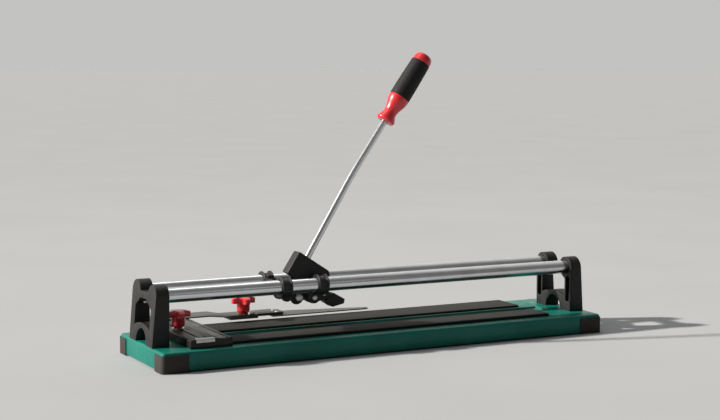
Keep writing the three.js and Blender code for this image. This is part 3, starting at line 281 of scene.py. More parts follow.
RAIL_CHROME = chrome_plate("chromed_tube", (0.01, 1, 1))
ROD_CHROME = chrome_plate("chromed_rod", (0.3, 1, 0.05))
ZINC = zinc_plate()
GREY_STEEL = brushed_grey_steel()
ANODISED = anodised_black()
print("made", RAIL_CHROME.name, ROD_CHROME.name, ZINC.name, GREY_STEEL.name, ANODISED.name)

# %% [markdown]
# ## Rubber and plastic
#
# The corner caps are moulded rubber, dull and a little dusty. The pads are foam rubber with a fine
# open grain. The knobs and the hard parts of the grip are glossy red plastic with a thin, clear
# looking skin. The sleeve of the grip is soft black rubber, which is matt with a fine leathery
# grain, and the bushes are plain black nylon. The foam's cells and the sleeve's grain are drawn a
# little over a millimetre across, coarser than the real ones, so that they show at all.

# %% Rubbers and plastics
def moulded_rubber():
    finish, tree, shader, place = start_finish("moulded_rubber", {"IOR": 1.52})
    dust = noise(tree, place, 9, 4, 0.65)
    tree.links.new(between(tree, dust, "#211d1a", "#332d27", 0.35, 0.75), shader.inputs["Base Color"])
    tree.links.new(spread(tree, dust, 0.7, 0.86), shader.inputs["Roughness"])
    raise_surface(tree, shader, noise(tree, place, 0.8, 2), 0.06, 0.7)
    return finish


def foam_rubber():
    values = {"IOR": 1.3, "Sheen Weight": 0.02, "Sheen Roughness": 0.5}
    finish, tree, shader, place = start_finish("foam_rubber", values)
    cells = noise(tree, place, 1.2, 3, 0.7)
    dust = noise(tree, place, 45, 4)
    grain = between(tree, cells, "#161614", "#252522")
    tree.links.new(mixed(tree, spread(tree, dust, 0, 0.4), grain, "#2f2e2a"), shader.inputs["Base Color"])
    tree.links.new(spread(tree, cells, 0.78, 0.92), shader.inputs["Roughness"])
    raise_surface(tree, shader, cells, 0.15, 0.8)
    return finish


def glossy_red():
    values = {"IOR": 1.5, "Subsurface Weight": 0.05, "Coat Weight": 0.35, "Coat Roughness": 0.12}
    finish, tree, shader, place = start_finish("glossy_red_plastic", values)
    flow = noise(tree, place, 22, 2)
    # Edges are painted a paler pink: mostly a painted highlight along them, partly also wear.
    rubbed_and_highlit = mixed(tree, worn_and_highlit_edges(tree, 0.8), between(tree, flow, "#c91f26", "#d62b31"), "#e0585a")
    tree.links.new(rubbed_and_highlit, shader.inputs["Base Color"])
    tree.links.new(spread(tree, flow, 0.26, 0.36), shader.inputs["Roughness"])
    raise_surface(tree, shader, noise(tree, place, 2.5, 2), 0.03, 0.5)
    return finish


def sleeve_rubber():
    values = {"IOR": 1.36, "Sheen Weight": 0.01, "Sheen Roughness": 0.4}
    finish, tree, shader, place = start_finish("soft_sleeve_rubber", values)
    skin = noise(tree, place, 1.4, 3, 0.6)
    handling = between(tree, noise(tree, place, 18, 3), "#0a0b0a", "#131412")
    tree.links.new(handling, shader.inputs["Base Color"])
    tree.links.new(spread(tree, skin, 0.55, 0.72), shader.inputs["Roughness"])
    raise_surface(tree, shader, skin, 0.1, 0.7)
    return finish


def plain_plastic(name, low, high, roughness):
    finish, tree, shader, place = start_finish(name, {"IOR": 1.5})
    flow = noise(tree, place, 6, 2)
    tree.links.new(between(tree, flow, low, high), shader.inputs["Base Color"])
    tree.links.new(spread(tree, flow, roughness - 0.05, roughness + 0.07), shader.inputs["Roughness"])
    raise_surface(tree, shader, noise(tree, place, 0.7, 2), 0.02, 0.5)
    return finish


CAP_RUBBER = moulded_rubber()
FOAM = foam_rubber()
RED_PLASTIC = glossy_red()
SLEEVE = sleeve_rubber()
BLACK_NYLON = plain_plastic("black_nylon", "#121212", "#1b1b1b", 0.42)
WHITE_PLASTIC = plain_plastic("white_plastic", "#dddbd4", "#ebe9e3", 0.45)
MARKING_PAINT = plain_plastic("marking_paint", "#c6bd95", "#d8cfa6", 0.55)
print("made", len(bpy.data.materials), "materials in all so far")

FINISHES = {
    "green_paint": GREEN_COAT,
    "black_casting": BLACK_CAST,
    "chrome": RAIL_CHROME,
    "zinc": ZINC,
    "cap_rubber": CAP_RUBBER,
    "pad_rubber": FOAM,
    "black_anodised": ANODISED,
    "grey_steel": GREY_STEEL,
    "red_plastic": RED_PLASTIC,
    "grip_rubber": SLEEVE,
    "black_plastic": BLACK_NYLON,
    "white_plastic": WHITE_PLASTIC,
}

# %% [markdown]
# ## Handing a piece in
#
# Each mechanical node has a material slot and rides on a body. A finished piece takes both from
# the node that it stands for, so the two can't disagree. Before that, every mechanical node gets
# its own finish, so that whichever of them stay visible are finished too.

# %% Slots, bodies and the hand-in
SMOOTH_BELOW = math.radians(35)  # edges that turn by more than this stay crisp
SLOT_OF = {part["node"]: part["material_slot"] for part in frame["record"]["subparts"]}
BODY_OF = {node: body for body, nodes in frame["record"]["behaviour"]["bodies"].items() for node in nodes}

for node_name, node in frame["nodes"].items():
    node.data.materials.clear()
    node.data.materials.append(FINISHES[SLOT_OF[node_name]])


def only(piece):
    """Makes one piece the active and only selected object."""
    bpy.ops.object.select_all(action="DESELECT")
    piece.select_set(True)
    bpy.context.view_layer.objects.active = piece


def settle(piece):
    """Puts the piece's place into its mesh, so that the object sits at the origin."""
    only(piece)
    bpy.ops.object.transform_apply(location=True, rotation=True, scale=True)


def hand_in(piece, name, node, finish=None):
    """Names a piece, shades and finishes it, and lets it stand for a mechanical node."""
    settle(piece)
    bpy.ops.object.shade_smooth_by_angle(angle=SMOOTH_BELOW)
    piece.name = piece.data.name = name
    piece.data.materials.clear()
    piece.data.materials.append(finish or FINISHES[SLOT_OF[node]])
    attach(piece, BODY_OF[node])
    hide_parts(node)
    return piece


print("slots:", sorted(set(SLOT_OF.values())))

# %% [markdown]
# ## Picking faces and edges
#
# Edit mode works on what is selected. A person clicks on it, and a script has to describe it: a
# face by its middle and the way it faces, an edge by its two ends. These helpers hold that, with
# the two tests on edges that come up most: is it upright, and does it lie at the top? Two more
# apply the modifiers that finish many pieces: a bevel, because no real edge is perfectly sharp,
# and a boolean, which joins two shapes or keeps what they share.

# %% Selecting, adding primitives and applying modifiers
NEAR = 0.01 * MM  # two places closer than this count as one


def begin_edit(piece):
    only(piece)
    bpy.ops.object.mode_set(mode="EDIT")


def end_edit():
    bpy.ops.object.mode_set(mode="OBJECT")


def pick_faces(piece, wanted):
    """Selects the faces whose middle and normal pass the test, and counts them."""
    bpy.ops.mesh.select_mode(type="FACE")
    bpy.ops.mesh.select_all(action="DESELECT")
    shape = bmesh.from_edit_mesh(piece.data)
    found = [face for face in shape.faces if wanted(face.calc_center_median(), face.normal)]
    for face in found:
        face.select_set(True)
    bmesh.update_edit_mesh(piece.data)
    return len(found)


def pick_edges(piece, wanted):
    """Selects the edges whose two ends pass the test, and counts them."""
    bpy.ops.mesh.select_mode(type="EDGE")
    bpy.ops.mesh.select_all(action="DESELECT")
    shape = bmesh.from_edit_mesh(piece.data)
    found = [edge for edge in shape.edges if wanted(edge.verts[0].co, edge.verts[1].co)]
    for edge in found:
        edge.select_set(True)
    bmesh.update_edit_mesh(piece.data)
    return len(found)


def is_upright(start, end):
    """A test for edges that run straight up."""
    return abs(start.x - end.x) + abs(start.y - end.y) < NEAR


def is_at(height):
    """A test for edges whose two ends both reach the height."""
    return lambda start, end: min(start.z, end.z) > height - NEAR


def add_block(low, high):
    """A block between two corners, with its place in its mesh."""
    low, high = Vector(low), Vector(high)
    bpy.ops.mesh.primitive_cube_add(size=1, location=(low + high) / 2, scale=high - low)
    bpy.ops.object.transform_apply(location=True, rotation=True, scale=True)
    return bpy.context.object


def add_bar(start, end, radius, sides):
    """A round bar between two points, with its place in its mesh."""
    start, end = Vector(start), Vector(end)
    turn = (end - start).to_track_quat("Z", "Y").to_euler()
    bpy.ops.mesh.primitive_cylinder_add(
        vertices=sides, radius=radius, depth=(end - start).length, location=(start + end) / 2, rotation=turn
    )
    bpy.ops.object.transform_apply(location=True, rotation=True, scale=True)
    return bpy.context.object


def apply_modifier(piece, kind, **settings):
    only(piece)
    modifier = piece.modifiers.new(kind.lower(), kind)
    for name, value in settings.items():
        setattr(modifier, name, value)
    bpy.ops.object.modifier_apply(modifier=modifier.name)


def soften(piece, width_mm, segments=2, angle=38):
    """A small round on every edge that is sharper than the angle."""
    apply_modifier(
        piece,
        "BEVEL",
        width=width_mm * MM,
        segments=segments,
        limit_method="ANGLE",
        angle_limit=math.radians(angle),
        miter_outer="MITER_ARC",
    )


def combine(piece, tool, operation):
    """Joins a piece with a tool or keeps what they share, and removes the tool."""
    apply_modifier(piece, "BOOLEAN", object=tool, operation=operation, solver="EXACT")
    bpy.data.objects.remove(tool)


print("edit helpers are ready")

# %% [markdown]
# ## The bed
#
# The bed is one sheet, folded down all round and pressed into a shallow channel between the pads.
# It could be drawn wall by wall, but a sheet is easier to make from its outer skin: a block gets
# its corners and folds from bevels, loses its underside, and a Solidify modifier then gives it the
# thickness of the sheet. The channel's floor is one face, cut free by four bisects and pushed in.

# %% Folded bed
SHEET = 1.5 * MM
FOLD = 4.5 * MM
CORNER = 6 * MM
CHANNEL_DEPTH = 3 * MM
CHANNEL_HALF = 20.5 * MM
CHANNEL_BEFORE_RIDGE = 1 * MM
CHANNEL_PAST_RIDGE = 36 * MM

bed_low, bed_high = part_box("base_pan")
ridge_low, ridge_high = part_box("breaking_ridge")
channel_left = ridge_low.x - CHANNEL_BEFORE_RIDGE
channel_right = ridge_high.x + CHANNEL_PAST_RIDGE
bed_top = bed_high.z

bed = add_block(bed_low, bed_high)
begin_edit(bed)
pick_edges(bed, is_upright)
bpy.ops.mesh.bevel(offset=CORNER, segments=6)
pick_edges(bed, is_at(bed_top))
bpy.ops.mesh.bevel(offset=FOLD, segments=5)
pick_faces(bed, lambda middle, normal: normal.z < -0.99)
bpy.ops.mesh.delete(type="FACE")
for point, normal in (
    ((channel_left, 0, 0), (1, 0, 0)),
    ((channel_right, 0, 0), (1, 0, 0)),
    ((0, -CHANNEL_HALF, 0), (0, 1, 0)),
    ((0, CHANNEL_HALF, 0), (0, 1, 0)),
):
    pick_faces(bed, lambda middle, facing: facing.z > 0.999 and middle.z > bed_top - 0.1 * MM)
    bpy.ops.mesh.bisect(plane_co=point, plane_no=normal)


def in_channel(middle, normal):
    inside = channel_left < middle.x < channel_right and abs(middle.y) < CHANNEL_HALF
    return inside and normal.z > 0.999


print("channel floor faces:", pick_faces(bed, in_channel))
bpy.ops.mesh.extrude_region_move(TRANSFORM_OT_translate={"value": (0, 0, -CHANNEL_DEPTH)})
end_edit()
apply_modifier(bed, "SOLIDIFY", thickness=SHEET, offset=-1, use_even_offset=True)
soften(bed, 0.5, angle=50)
hand_in(bed, "bed_sheet", "base_pan")
print("bed:", len(bed.data.polygons), "faces")

# %% [markdown]
# ## Pads and ridge
#
# Each pad is a strip of foam rubber glued to the bed. Its corners are cut round and its upper edge
# has sagged a little softer than a cut edge, so it gets a wide, many-stepped round on top only. The
# ridge that the tile snaps over is a bar with sloping flanks: a block whose top is pinched.

# %% Foam pads and breaking ridge
PAD_CORNER, PAD_EDGE = 2.5 * MM, 1.2 * MM
RIDGE_FOOT, RIDGE_TOP, RIDGE_ROUND = 14 * MM, 3 * MM, 0.9 * MM


def model_pad(node):
    low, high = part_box(node)
    pad = add_block(low, high)
    begin_edit(pad)
    pick_edges(pad, is_upright)
    bpy.ops.mesh.bevel(offset=PAD_CORNER, segments=5)
    pick_edges(pad, is_at(high.z))
    bpy.ops.mesh.bevel(offset=PAD_EDGE, segments=4)
    end_edit()
    return hand_in(pad, node + "_foam", node)


for node_name in ("front_pad", "rear_pad"):
    print("made", model_pad(node_name).name)

ridge = add_block(ridge_low, ridge_high)
begin_edit(ridge)
pick_faces(ridge, lambda middle, normal: normal.z > 0.9)
bpy.ops.transform.resize(value=(1, RIDGE_TOP / RIDGE_FOOT, 1))
pick_edges(ridge, is_at(ridge_high.z))
bpy.ops.mesh.bevel(offset=RIDGE_ROUND, segments=4)
end_edit()
hand_in(ridge, "ridge_bar", "breaking_ridge")
print("ridge:", len(ridge.data.polygons), "faces")

# %% [markdown]
# ## Rails
#
# A rail is a tube, and its long highlights show every facet, so it gets many sides. The ends are
# made as a lathe would: the end face is inset to the wall's thickness and the middle pushed in.
# The bore stops a short way in, because the sockets of the supports hide the rest.

# %% Chromed rails
RAIL_WALL = 2 * MM
RAIL_HOLLOW = 30 * MM  # how far in from each end the tube is drawn open
RAIL_SIDES = 96


def model_rail(node):
    low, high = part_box(node)
    middle = (low + high) / 2
    radius = (high.z - low.z) / 2
    rail = add_bar((low.x, middle.y, middle.z), (high.x, middle.y, middle.z), radius, RAIL_SIDES)
    for end in (low.x, high.x):
        begin_edit(rail)
        pick_faces(rail, lambda place, normal: abs(place.x - end) < NEAR and abs(normal.x) > 0.9)
        bpy.ops.mesh.inset(thickness=RAIL_WALL)
        inward = RAIL_HOLLOW if end < middle.x else -RAIL_HOLLOW
        bpy.ops.mesh.extrude_region_move(TRANSFORM_OT_translate={"value": (inward, 0, 0)})
        end_edit()
    soften(rail, 0.5, angle=60)
    return hand_in(rail, node + "_tube", node)


for node_name in ("front_rail", "rear_rail"):
    print("made", model_rail(node_name).name)

# %% [markdown]
# ## Castings and other cut shapes
#
# The supports, the carriage, the lever block and the fork have windows, sockets and lobes that the
# mechanical model already holds at their exact places. Drawing them again would only invite small
# differences. So a copy of each is taken, its loose triangles are merged and its flat faces made
# whole again, and then each edge gets the round that its making leaves: about 1.6 mm on a cast
# support, just under a millimetre on the carriage and the lever block, and 0.3 to 0.6 mm on
# strips, screws and pins.

# %% Refining a copy of a mechanical piece
def refine(node, name, round_mm, segments=2):
    """A merged copy of a mechanical piece, with a small round on its edges."""
    source = frame["nodes"][node]
    piece = bpy.data.objects.new(name, source.data.copy())
    bpy.context.scene.collection.objects.link(piece)
    begin_edit(piece)
    bpy.ops.mesh.select_all(action="SELECT")
    bpy.ops.mesh.remove_doubles(threshold=0.005 * MM)
    bpy.ops.mesh.dissolve_limited(angle_limit=math.radians(0.5))
    bpy.ops.mesh.normals_make_consistent(inside=False)
    end_edit()
    soften(piece, round_mm, segments)
    hand_in(piece, name, node)


SIDES = ("front", "rear")
ENDS = ("left", "right")
for end in ENDS:
    refine(f"{end}_support", f"{end}_support_casting", 1.6, 3)
    for side in SIDES:
        refine(f"corner_cap_{side}_{end}", f"corner_cap_{side}_{end}_moulding", 1.0, 3)
refine("centre_foot", "centre_foot_block", 2.0, 3)
refine("carriage_body", "carriage_casting", 0.8)
refine("lever_block", "lever_block_casting", 0.9, 3)
refine("presser_foot", "presser_foot_casting", 1.0, 3)
refine("wheel_holder", "wheel_fork_casting", 0.6)

# %% Fence, gauge strips and small hardware
for node_name, round_mm in (
    ("fence_bar", 0.4),
    ("scale_slide", 0.3),
    ("slide_end_plate", 0.4),
    ("gauge_arm", 0.4),
    ("ruler_holder", 0.35),
    ("gauge_ruler", 0.3),
    ("angle_pointer", 0.5),
    ("fence_knob_washer", 0.4),
    ("rod_clamp_bolt", 0.5),
    ("wheel_lock_screw", 0.3),
    ("wheel_axle_bolt", 0.6),
    ("wheel_axle_nut", 0.5),
    ("pivot_pin", 0.4),
    ("foot_pin", 0.5),
    ("fence_stud", 0.4),
    ("gauge_stud", 0.4),
    ("arm_screw_front", 0.4),
    ("arm_screw_rear", 0.4),
    ("ruler_rivet_front", 0.3),
    ("ruler_rivet_rear", 0.3),
    ("fence_screw_left", 0.4),
    ("fence_screw_right", 0.4),
    *[(f"support_screw_{side}_{end}", 0.5) for side in SIDES for end in ENDS],
    *[(f"rail_set_screw_{side}_{end}", 0.4) for side in SIDES for end in ENDS],
):
    refine(node_name, node_name + "_fine", round_mm)
print("small hardware refined")

# %% [markdown]
# ## Turned pieces
#
# Bushes, knob hubs, the scoring wheel and all three parts of the grip were turned or moulded
# round. Each is one profile, spun about its axis in edit mode. The profile's points are distances
# from the axis and along it, so a piece is easy to change by its real dimensions. Where a profile
# has to flow, a few points are joined by a Catmull-Rom curve, which passes through all of them.

# %% Spinning a profile
SPIN_STEPS = 64


def spin_profile(name, points, start, along, closed=False):
    """Turns [radius, distance along the axis] points into a solid of revolution."""
    along = Vector(along).normalized()
    outward = along.orthogonal().normalized()
    start = Vector(start)
    corners = [start + outward * radius * MM + along * distance * MM for radius, distance in points]
    edges = [(i, i + 1) for i in range(len(corners) - 1)]
    if closed:
        edges.append((len(corners) - 1, 0))
    mesh = bpy.data.meshes.new(name)
    mesh.from_pydata(corners, edges, [])
    piece = bpy.data.objects.new(name, mesh)
    bpy.context.scene.collection.objects.link(piece)
    begin_edit(piece)
    bpy.ops.mesh.select_all(action="SELECT")
    bpy.ops.mesh.spin(steps=SPIN_STEPS, angle=math.tau, center=start, axis=along)
    bpy.ops.mesh.select_all(action="SELECT")
    bpy.ops.mesh.remove_doubles(threshold=0.005 * MM)
    bpy.ops.mesh.normals_make_consistent(inside=False)
    end_edit()
    return piece


def curve_value(before, here, there, after, t):
    """One coordinate of a Catmull-Rom curve, a share t of the way from here to there."""
    slope = (there - before) * t
    bow = (2 * before - 5 * here + 4 * there - after) * t**2
    turn = (3 * here - before - 3 * there + after) * t**3
    return 0.5 * (2 * here + slope + bow + turn)


def smooth_run(points, steps=6):
    """A rounded curve through the points, as a maker would file the profile fair."""
    fair = []
    padded = [points[0], *points, points[-1]]
    for four in zip(padded, padded[1:], padded[2:], padded[3:]):
        for step in range(steps):
            fair.append(tuple(curve_value(*values, step / steps) for values in zip(*four)))
    return [*fair, points[-1]]


print("spin helper is ready")

# %% Carriage bushes
bush_low, bush_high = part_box("bush_front_left")
bush_middle = (bush_low + bush_high) / 2
BUSH_HALF = (bush_high.x - bush_low.x) / 2 / MM
FLANGE = (bush_high.z - bush_low.z) / 2 / MM
BORE = 12.8
WAIST = 14.6
bush_profile = [
    (BORE, -BUSH_HALF + 0.5),
    (BORE + 0.5, -BUSH_HALF),
    (FLANGE - 0.8, -BUSH_HALF),
    (FLANGE, -BUSH_HALF + 0.8),
    (FLANGE, -BUSH_HALF + 2.4),
    (FLANGE - 0.6, -BUSH_HALF + 3),
    (WAIST + 0.5, -BUSH_HALF + 3),
    (WAIST, -BUSH_HALF + 3.5),
]
bush_profile += [(radius, -distance) for radius, distance in reversed(bush_profile)]
bush = spin_profile("bush_master", bush_profile, bush_middle, (1, 0, 0), closed=True)
for side in SIDES:
    for end in ENDS:
        node_name = f"bush_{side}_{end}"
        low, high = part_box(node_name)
        copy = bush.copy()
        copy.data = bush.data.copy()
        bpy.context.scene.collection.objects.link(copy)
        copy.location = (low + high) / 2 - bush_middle
        hand_in(copy, node_name + "_spool", node_name)
bpy.data.objects.remove(bush)
print("bushes:", FLANGE * 2, "mm across the flanges")

# %% [markdown]
# ## Lever rod and grip
#
# The rod is bright bar with one gentle bend. A curve with a round section keeps its thickness
# through the bend, which a bent cylinder wouldn't, and is then turned into a mesh. Its centre line
# and the grip's axis are worked out from the lever's own sizes, in the same way as the mechanical
# model does it.

# %% Lever rod
LEAN = math.radians(33)
pivot_low, pivot_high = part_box("pivot_pin")
PIVOT = (pivot_low + pivot_high) / 2


def lever_direction(degrees):
    """A direction in the plane of the lever, measured from its own upright."""
    angle = LEAN + math.radians(degrees)
    return Vector((math.sin(angle), 0, math.cos(angle)))


def lever_place(across, upward):
    """A point of the lever, from its pivot, in millimetres across and up its own upright."""
    return PIVOT + (lever_direction(90) * across + lever_direction(0) * upward) * MM


ROD_TILT, ROD_BEND = -1.6, 3.6  # degrees from the lever's upright, and at the bend
ROD_RADIUS = 6
ROD_FOOT = (-41.8, 22)  # across and up from the pivot
LOWER_LENGTH, BEND_REACH, UPPER_LENGTH, LENGTH_IN_GRIP = 170, 30, 84.5, 85
BEND_STEPS = 12
lower, upper = lever_direction(ROD_TILT), lever_direction(ROD_TILT + ROD_BEND)
rod_foot = lever_place(*ROD_FOOT)
bend_start = rod_foot + lower * LOWER_LENGTH * MM
elbow = bend_start + lower * BEND_REACH * MM
bend_end = elbow + upper * BEND_REACH * MM
grip_start = bend_end + upper * UPPER_LENGTH * MM
rod_tip = grip_start + upper * LENGTH_IN_GRIP * MM

line = bpy.data.curves.new("rod_line", "CURVE")
line.dimensions = "3D"
line.bevel_depth = ROD_RADIUS * MM
line.bevel_resolution = 10
line.use_fill_caps = True
bend = []
for step in range(BEND_STEPS + 1):
    t = step / BEND_STEPS
    bend.append(bend_start.lerp(elbow, t).lerp(elbow.lerp(bend_end, t), t))
route = [rod_foot, rod_foot.lerp(bend_start, 0.5), *bend, grip_start, rod_tip]
spline = line.splines.new("POLY")
spline.points.add(len(route) - 1)
for point, place in zip(spline.points, route):
    point.co = (*place, 1)
rod = bpy.data.objects.new("rod_line", line)
bpy.context.scene.collection.objects.link(rod)
only(rod)
bpy.ops.object.convert(target="MESH")
rod = bpy.context.object
soften(rod, 0.6, angle=60)
hand_in(rod, "lever_rod_bar", "lever_rod", ROD_CHROME)
print("rod:", round((rod_tip - rod_foot).length / MM), "mm from foot to tip")

# %% [markdown]
# The grip's core flares at its collar, narrows to a neck and swells to a shoulder where the
# sleeve begins. The sleeve is a push-on tube that tapers a little towards its end, and the end cap
# is a shallow dome. The three profiles have nearly the same radius where they meet, so the grip
# reads as one handle in two colours.

# %% Grip core, sleeve and cap
SLEEVE_START, SLEEVE_END, GRIP_LENGTH = 51.5, 126.5, 144.5
SLEEVE_LOW, SLEEVE_HIGH, CORE = 19, 17.6, 12
BORE_RADIUS = ROD_RADIUS + 0.3

collar = [(16.6, 1.5), (17.3, 4), (15.6, 9)]
neck = [(12.6, 16), (12.3, 22), (14.2, 30)]
shoulder = [(17.6, 40), (18.7, 46), (18.9, 50.1)]
core_profile = [
    (BORE_RADIUS, 0.6),
    (BORE_RADIUS + 0.6, 0),
    (13, 0),
    (15.4, 0.5),
    *smooth_run([*collar, *neck, *shoulder]),
    (18.6, 51.1),
    (SLEEVE_LOW - 1, SLEEVE_START),
    (CORE, SLEEVE_START),
    (CORE, SLEEVE_END),
    (BORE_RADIUS, SLEEVE_END),
]
grip_core = spin_profile("grip_core_shape", core_profile, grip_start, upper, closed=True)
hand_in(grip_core, "grip_core_moulding", "grip_core")

sleeve_outside = [
    (SLEEVE_LOW - 0.7, SLEEVE_START + 0.3),
    (SLEEVE_LOW - 0.1, SLEEVE_START + 0.8),
    (SLEEVE_LOW, SLEEVE_START + 2),
    (SLEEVE_LOW, SLEEVE_START + 20),
    (18.7, SLEEVE_START + 38),
    (18.1, SLEEVE_START + 60),
    (SLEEVE_HIGH + 0.1, SLEEVE_END - 1.6),
    (SLEEVE_HIGH - 0.1, SLEEVE_END - 0.5),
    (SLEEVE_HIGH - 0.6, SLEEVE_END),
]
sleeve_profile = [(CORE + 0.3, SLEEVE_START + 0.3), *sleeve_outside, (CORE + 0.3, SLEEVE_END)]
grip_sleeve = spin_profile("grip_sleeve_shape", sleeve_profile, grip_start, upper, closed=True)
hand_in(grip_sleeve, "grip_sleeve_rubber", "grip_sleeve")

dome_points = [(17.3, 5), (16.2, 10.4), (13, 15.2), (7, 17.5)]
dome = smooth_run([(radius, SLEEVE_END + along) for radius, along in dome_points])
cap_profile = [
    (0, SLEEVE_END + 0.3),
    (SLEEVE_HIGH - 0.5, SLEEVE_END + 0.3),
    (SLEEVE_HIGH, SLEEVE_END + 0.8),
    *dome,
    (3, GRIP_LENGTH - 0.1),
    (0, GRIP_LENGTH),
]
grip_cap = spin_profile("grip_cap_shape", cap_profile, grip_start, upper)
hand_in(grip_cap, "grip_cap_moulding", "grip_cap")
print("grip:", GRIP_LENGTH, "mm long,", 2 * SLEEVE_LOW, "mm across")

# %% Scoring wheel
WHEEL = 13.5
WHEEL_HALF = 1.8
wheel_low, wheel_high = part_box("scoring_wheel")
wheel_profile = [
    (2.8, -WHEEL_HALF),
    (WHEEL - 3.4, -WHEEL_HALF),
    (WHEEL - 2.6, -WHEEL_HALF + 0.5),
    (WHEEL, -0.06),
    (WHEEL, 0.06),
    (WHEEL - 2.6, WHEEL_HALF - 0.5),
    (WHEEL - 3.4, WHEEL_HALF),
    (2.8, WHEEL_HALF),
]
wheel = spin_profile("wheel_shape", wheel_profile, (wheel_low + wheel_high) / 2, (0, 1, 0), closed=True)
hand_in(wheel, "scoring_wheel_disc", "scoring_wheel")
print("wheel:", 2 * WHEEL, "mm across")

# %% [markdown]
# ## Clamping knobs
#
# A knob is a round hub that narrows to a foot, with four lobes across its top, so that a thumb and
# a finger can turn it. The hub is spun, the lobes are two crossed blocks with round ends, cut by a
# low dome, and booleans join them. A last bevel rounds every edge as a mould does.

# %% Red cross knobs
KNOB_HEIGHT, HUB, NECK, NECK_HEIGHT = 31.5, 11.7, 7.6, 5
LOBE_HALF, REACH, LOBE_DEPTH = 5.5, 22.5, 12.5
LOBE_ROUND = LOBE_HALF - 0.8  # leaves a narrow flat at the end of a lobe
RIM_DROP = 5.1
CROWN = [(REACH - 0.6, 3.9), (REACH - 3, 2.7), (12, 0.9), (6, 0.2)]  # from the axis, below the top
SPARE = 1  # how far one shape runs past another that it is cut with


def add_lobes(half_x, half_y):
    """Two opposite lobes: one block with rounded ends."""
    low = Vector((-half_x, -half_y, KNOB_HEIGHT - LOBE_DEPTH)) * MM
    high = Vector((half_x, half_y, KNOB_HEIGHT + SPARE)) * MM
    lobes = add_block(low, high)
    begin_edit(lobes)
    pick_edges(lobes, is_upright)
    bpy.ops.mesh.bevel(offset=LOBE_ROUND * MM, segments=8)
    end_edit()
    return lobes


def model_knob(node, stud_node):
    stud_low, stud_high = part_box(stud_node)
    low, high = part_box(node)
    axis = Vector(((stud_low.x + stud_high.x) / 2, (stud_low.y + stud_high.y) / 2, low.z))
    profile = [
        (0, 0),
        (NECK - 0.4, 0),
        (NECK, 0.4),
        *smooth_run([(NECK + 0.8, 2), (HUB - 0.8, NECK_HEIGHT - 0.6), (HUB, NECK_HEIGHT + 1.6)], 4),
        (HUB, KNOB_HEIGHT - 3),
        (HUB - 1.5, KNOB_HEIGHT - 1.2),
        (0, KNOB_HEIGHT - 0.3),
    ]
    hub = spin_profile(node + "_hub", profile, axis, (0, 0, 1))
    dome_foot = KNOB_HEIGHT - LOBE_DEPTH - SPARE
    dome_profile = [
        (0, dome_foot),
        (REACH, dome_foot),
        (REACH, KNOB_HEIGHT - RIM_DROP),
        *smooth_run([(radius, KNOB_HEIGHT - drop) for radius, drop in CROWN], 4),
        (0, KNOB_HEIGHT),
    ]
    dome = spin_profile(node + "_dome", dome_profile, axis, (0, 0, 1))
    cross = add_lobes(REACH, LOBE_HALF)
    combine(cross, add_lobes(LOBE_HALF, REACH), "UNION")
    cross.location = axis
    settle(cross)
    combine(cross, dome, "INTERSECT")
    combine(hub, cross, "UNION")
    soften(hub, 0.8, 3, angle=40)
    return hand_in(hub, node + "_moulding", node)


model_knob("fence_knob", "fence_stud")
model_knob("gauge_knob", "gauge_stud")
print("knobs:", 2 * REACH, "mm across the lobes")

# %% [markdown]
# ## Scale marks
#
# The fence's scale is a steel strip with printed marks, and the ruler carries the same. Print is
# far thinner than a hair, but a mark that is modelled as a thin bar stays crisp from every side.
# One mark is made and arrayed: a row of short marks at each half centimetre, named for the
# millimetres that it counts in fives, and a row of longer ones at each centimetre.

# %% Printed marks
INK = 0.12 * MM
MARK_WIDTH = 0.5 * MM
SUNK = 0.02 * MM  # a mark starts just under the surface, so that no two faces coincide
SCALE_MARGIN = 4 * MM
RULER_MARGIN = 10 * MM
RULER_EDGE = 0.6 * MM


def model_marks(name, node, first, step, count, size):
    """A row of equal marks: the first one is arrayed along the step."""
    mark = add_block(first, Vector(first) + Vector(size))
    apply_modifier(
        mark,
        "ARRAY",
        count=count,
        use_relative_offset=False,
        use_constant_offset=True,
        constant_offset_displace=step,
    )
    settle(mark)
    mark.name = mark.data.name = name
    mark.data.materials.append(MARKING_PAINT)
    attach(mark, BODY_OF[node])
    return mark


scale_low, scale_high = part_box("fence_scale")
refine("fence_scale", "fence_scale_strip", 0.15, 1)
SCALE_MIDDLE = 0
for label, pitch, length in (("millimetre", 5, 2.6), ("centimetre", 10, 5.2)):
    behind_middle = int((scale_high.y - SCALE_MARGIN - SCALE_MIDDLE) / (pitch * MM))
    before_middle = int((SCALE_MIDDLE - scale_low.y - SCALE_MARGIN) / (pitch * MM))
    count = before_middle + behind_middle + 1
    first_y = SCALE_MIDDLE - before_middle * pitch * MM
    first = (scale_high.x - length * MM, first_y, scale_high.z - SUNK)
    marks = model_marks(
        f"fence_{label}_marks",
        "fence_scale",
        first,
        (0, pitch * MM, 0),
        count,
        (length * MM, MARK_WIDTH, INK),
    )
    print(marks.name, count)

ruler_low, ruler_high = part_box("gauge_ruler")
holder_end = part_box("ruler_holder")[1].x
mark_start = holder_end + SCALE_MARGIN
for label, pitch, length in (("millimetre", 5, 3), ("centimetre", 10, 6)):
    count = int((ruler_high.x - RULER_MARGIN - mark_start) / (pitch * MM))
    first = (mark_start, ruler_low.y + RULER_EDGE, ruler_high.z - SUNK)
    marks = model_marks(
        f"ruler_{label}_marks",
        "gauge_ruler",
        first,
        (pitch * MM, 0, 0),
        count,
        (MARK_WIDTH, length * MM, INK),
    )
    print(marks.name, count)

# %% [markdown]
# ## Floor and light
#
# The bench is a plain pale floor that runs back to a plain pale surround. The key lamp is a low
# sun on the left and a little behind. It lights the left faces and lays shadows to the right and
# slightly forward, with an edge that stays fairly crisp. A long panel overhead adds a soft light
# from above, and a weak lamp in front keeps the dark side readable. Chrome shows only what is
# around it, so the surround is darker in front than behind, which gives the rails their bands.

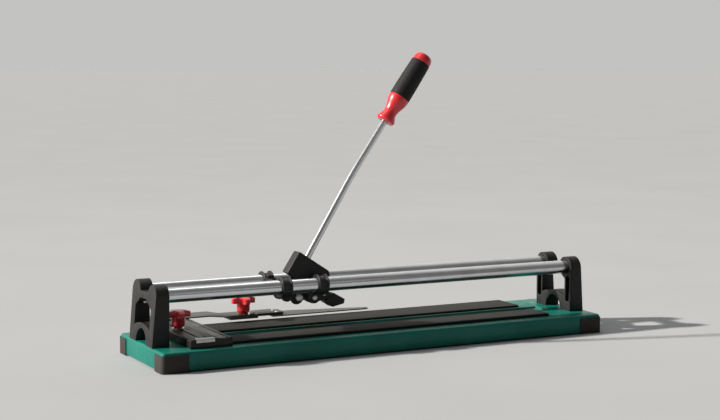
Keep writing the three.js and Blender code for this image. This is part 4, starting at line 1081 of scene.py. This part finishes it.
# %% Floor, surround and lamps
bpy.ops.mesh.primitive_plane_add(size=60, location=(0, 0, 0))
floor = bpy.context.object
floor.name = "floor"
floor_finish, tree, shader, place = start_finish("plain_floor", {"Roughness": 0.85})
tree.links.new(between(tree, noise(tree, place, 400, 3), "#b0b2b4", "#b4b6b8"), shader.inputs["Base Color"])
floor.data.materials.append(floor_finish)

world = bpy.data.worlds.new("studio")
bpy.context.scene.world = world
world.use_nodes = True
sky = world.node_tree
background = next(node for node in sky.nodes if node.type == "BACKGROUND")
direction = add_node(sky, "ShaderNodeTexCoord").outputs["Generated"]
parts = add_node(sky, "ShaderNodeSeparateXYZ", {"Vector": direction})
behind = spread(sky, parts.outputs["Y"], 0.0, 1.0, -0.35, 0.45)
rays = add_node(sky, "ShaderNodeLightPath")

dull_light = mixed(sky, behind, "#2c2c2c", "#b0afac")
mirrored = mixed(sky, behind, "#7b7a79", "#f0eeea")
unseen = mixed(sky, rays.outputs["Is Glossy Ray"], dull_light, mirrored)
seen = mixed(sky, rays.outputs["Is Camera Ray"], unseen, "#c3c3c1")
sky.links.new(seen, background.inputs["Color"])
background.inputs["Strength"].default_value = 1.0


def add_lamp(name, place, aim, size, power, tint="#ffffff"):
    bpy.ops.object.light_add(type="AREA", location=place)
    lamp = bpy.context.object
    lamp.name = name
    lamp.data.shape = "RECTANGLE"
    lamp.data.size, lamp.data.size_y = size
    lamp.data.energy = power
    lamp.data.color = colour(tint)[:3]
    lamp.rotation_euler = (Vector(aim) - Vector(place)).to_track_quat("-Z", "Y").to_euler()
    return lamp


SUN_TURN = math.radians(19.5)
SUN_HEIGHT = math.radians(27.5)
sun_place = Vector((-math.cos(SUN_TURN), math.sin(SUN_TURN), math.tan(SUN_HEIGHT)))
bpy.ops.object.light_add(type="SUN", location=sun_place * 3)
key = bpy.context.object
key.name = "key_lamp"
key.rotation_euler = sun_place.to_track_quat("Z", "Y").to_euler()
key.data.energy = 6.2
key.data.angle = math.radians(2.5)
key.data.color = colour("#fffaf3")[:3]
add_lamp("top_panel", (-0.3, 0.5, 3.0), (0, 0, 0), (3.4, 0.35), 14)
add_lamp("front_fill", (0.6, -3.4, 1.6), (0, 0, 0.1), (2.4, 0.5), 2, "#eef3ff")

bpy.context.scene.view_settings.view_transform = "Standard"
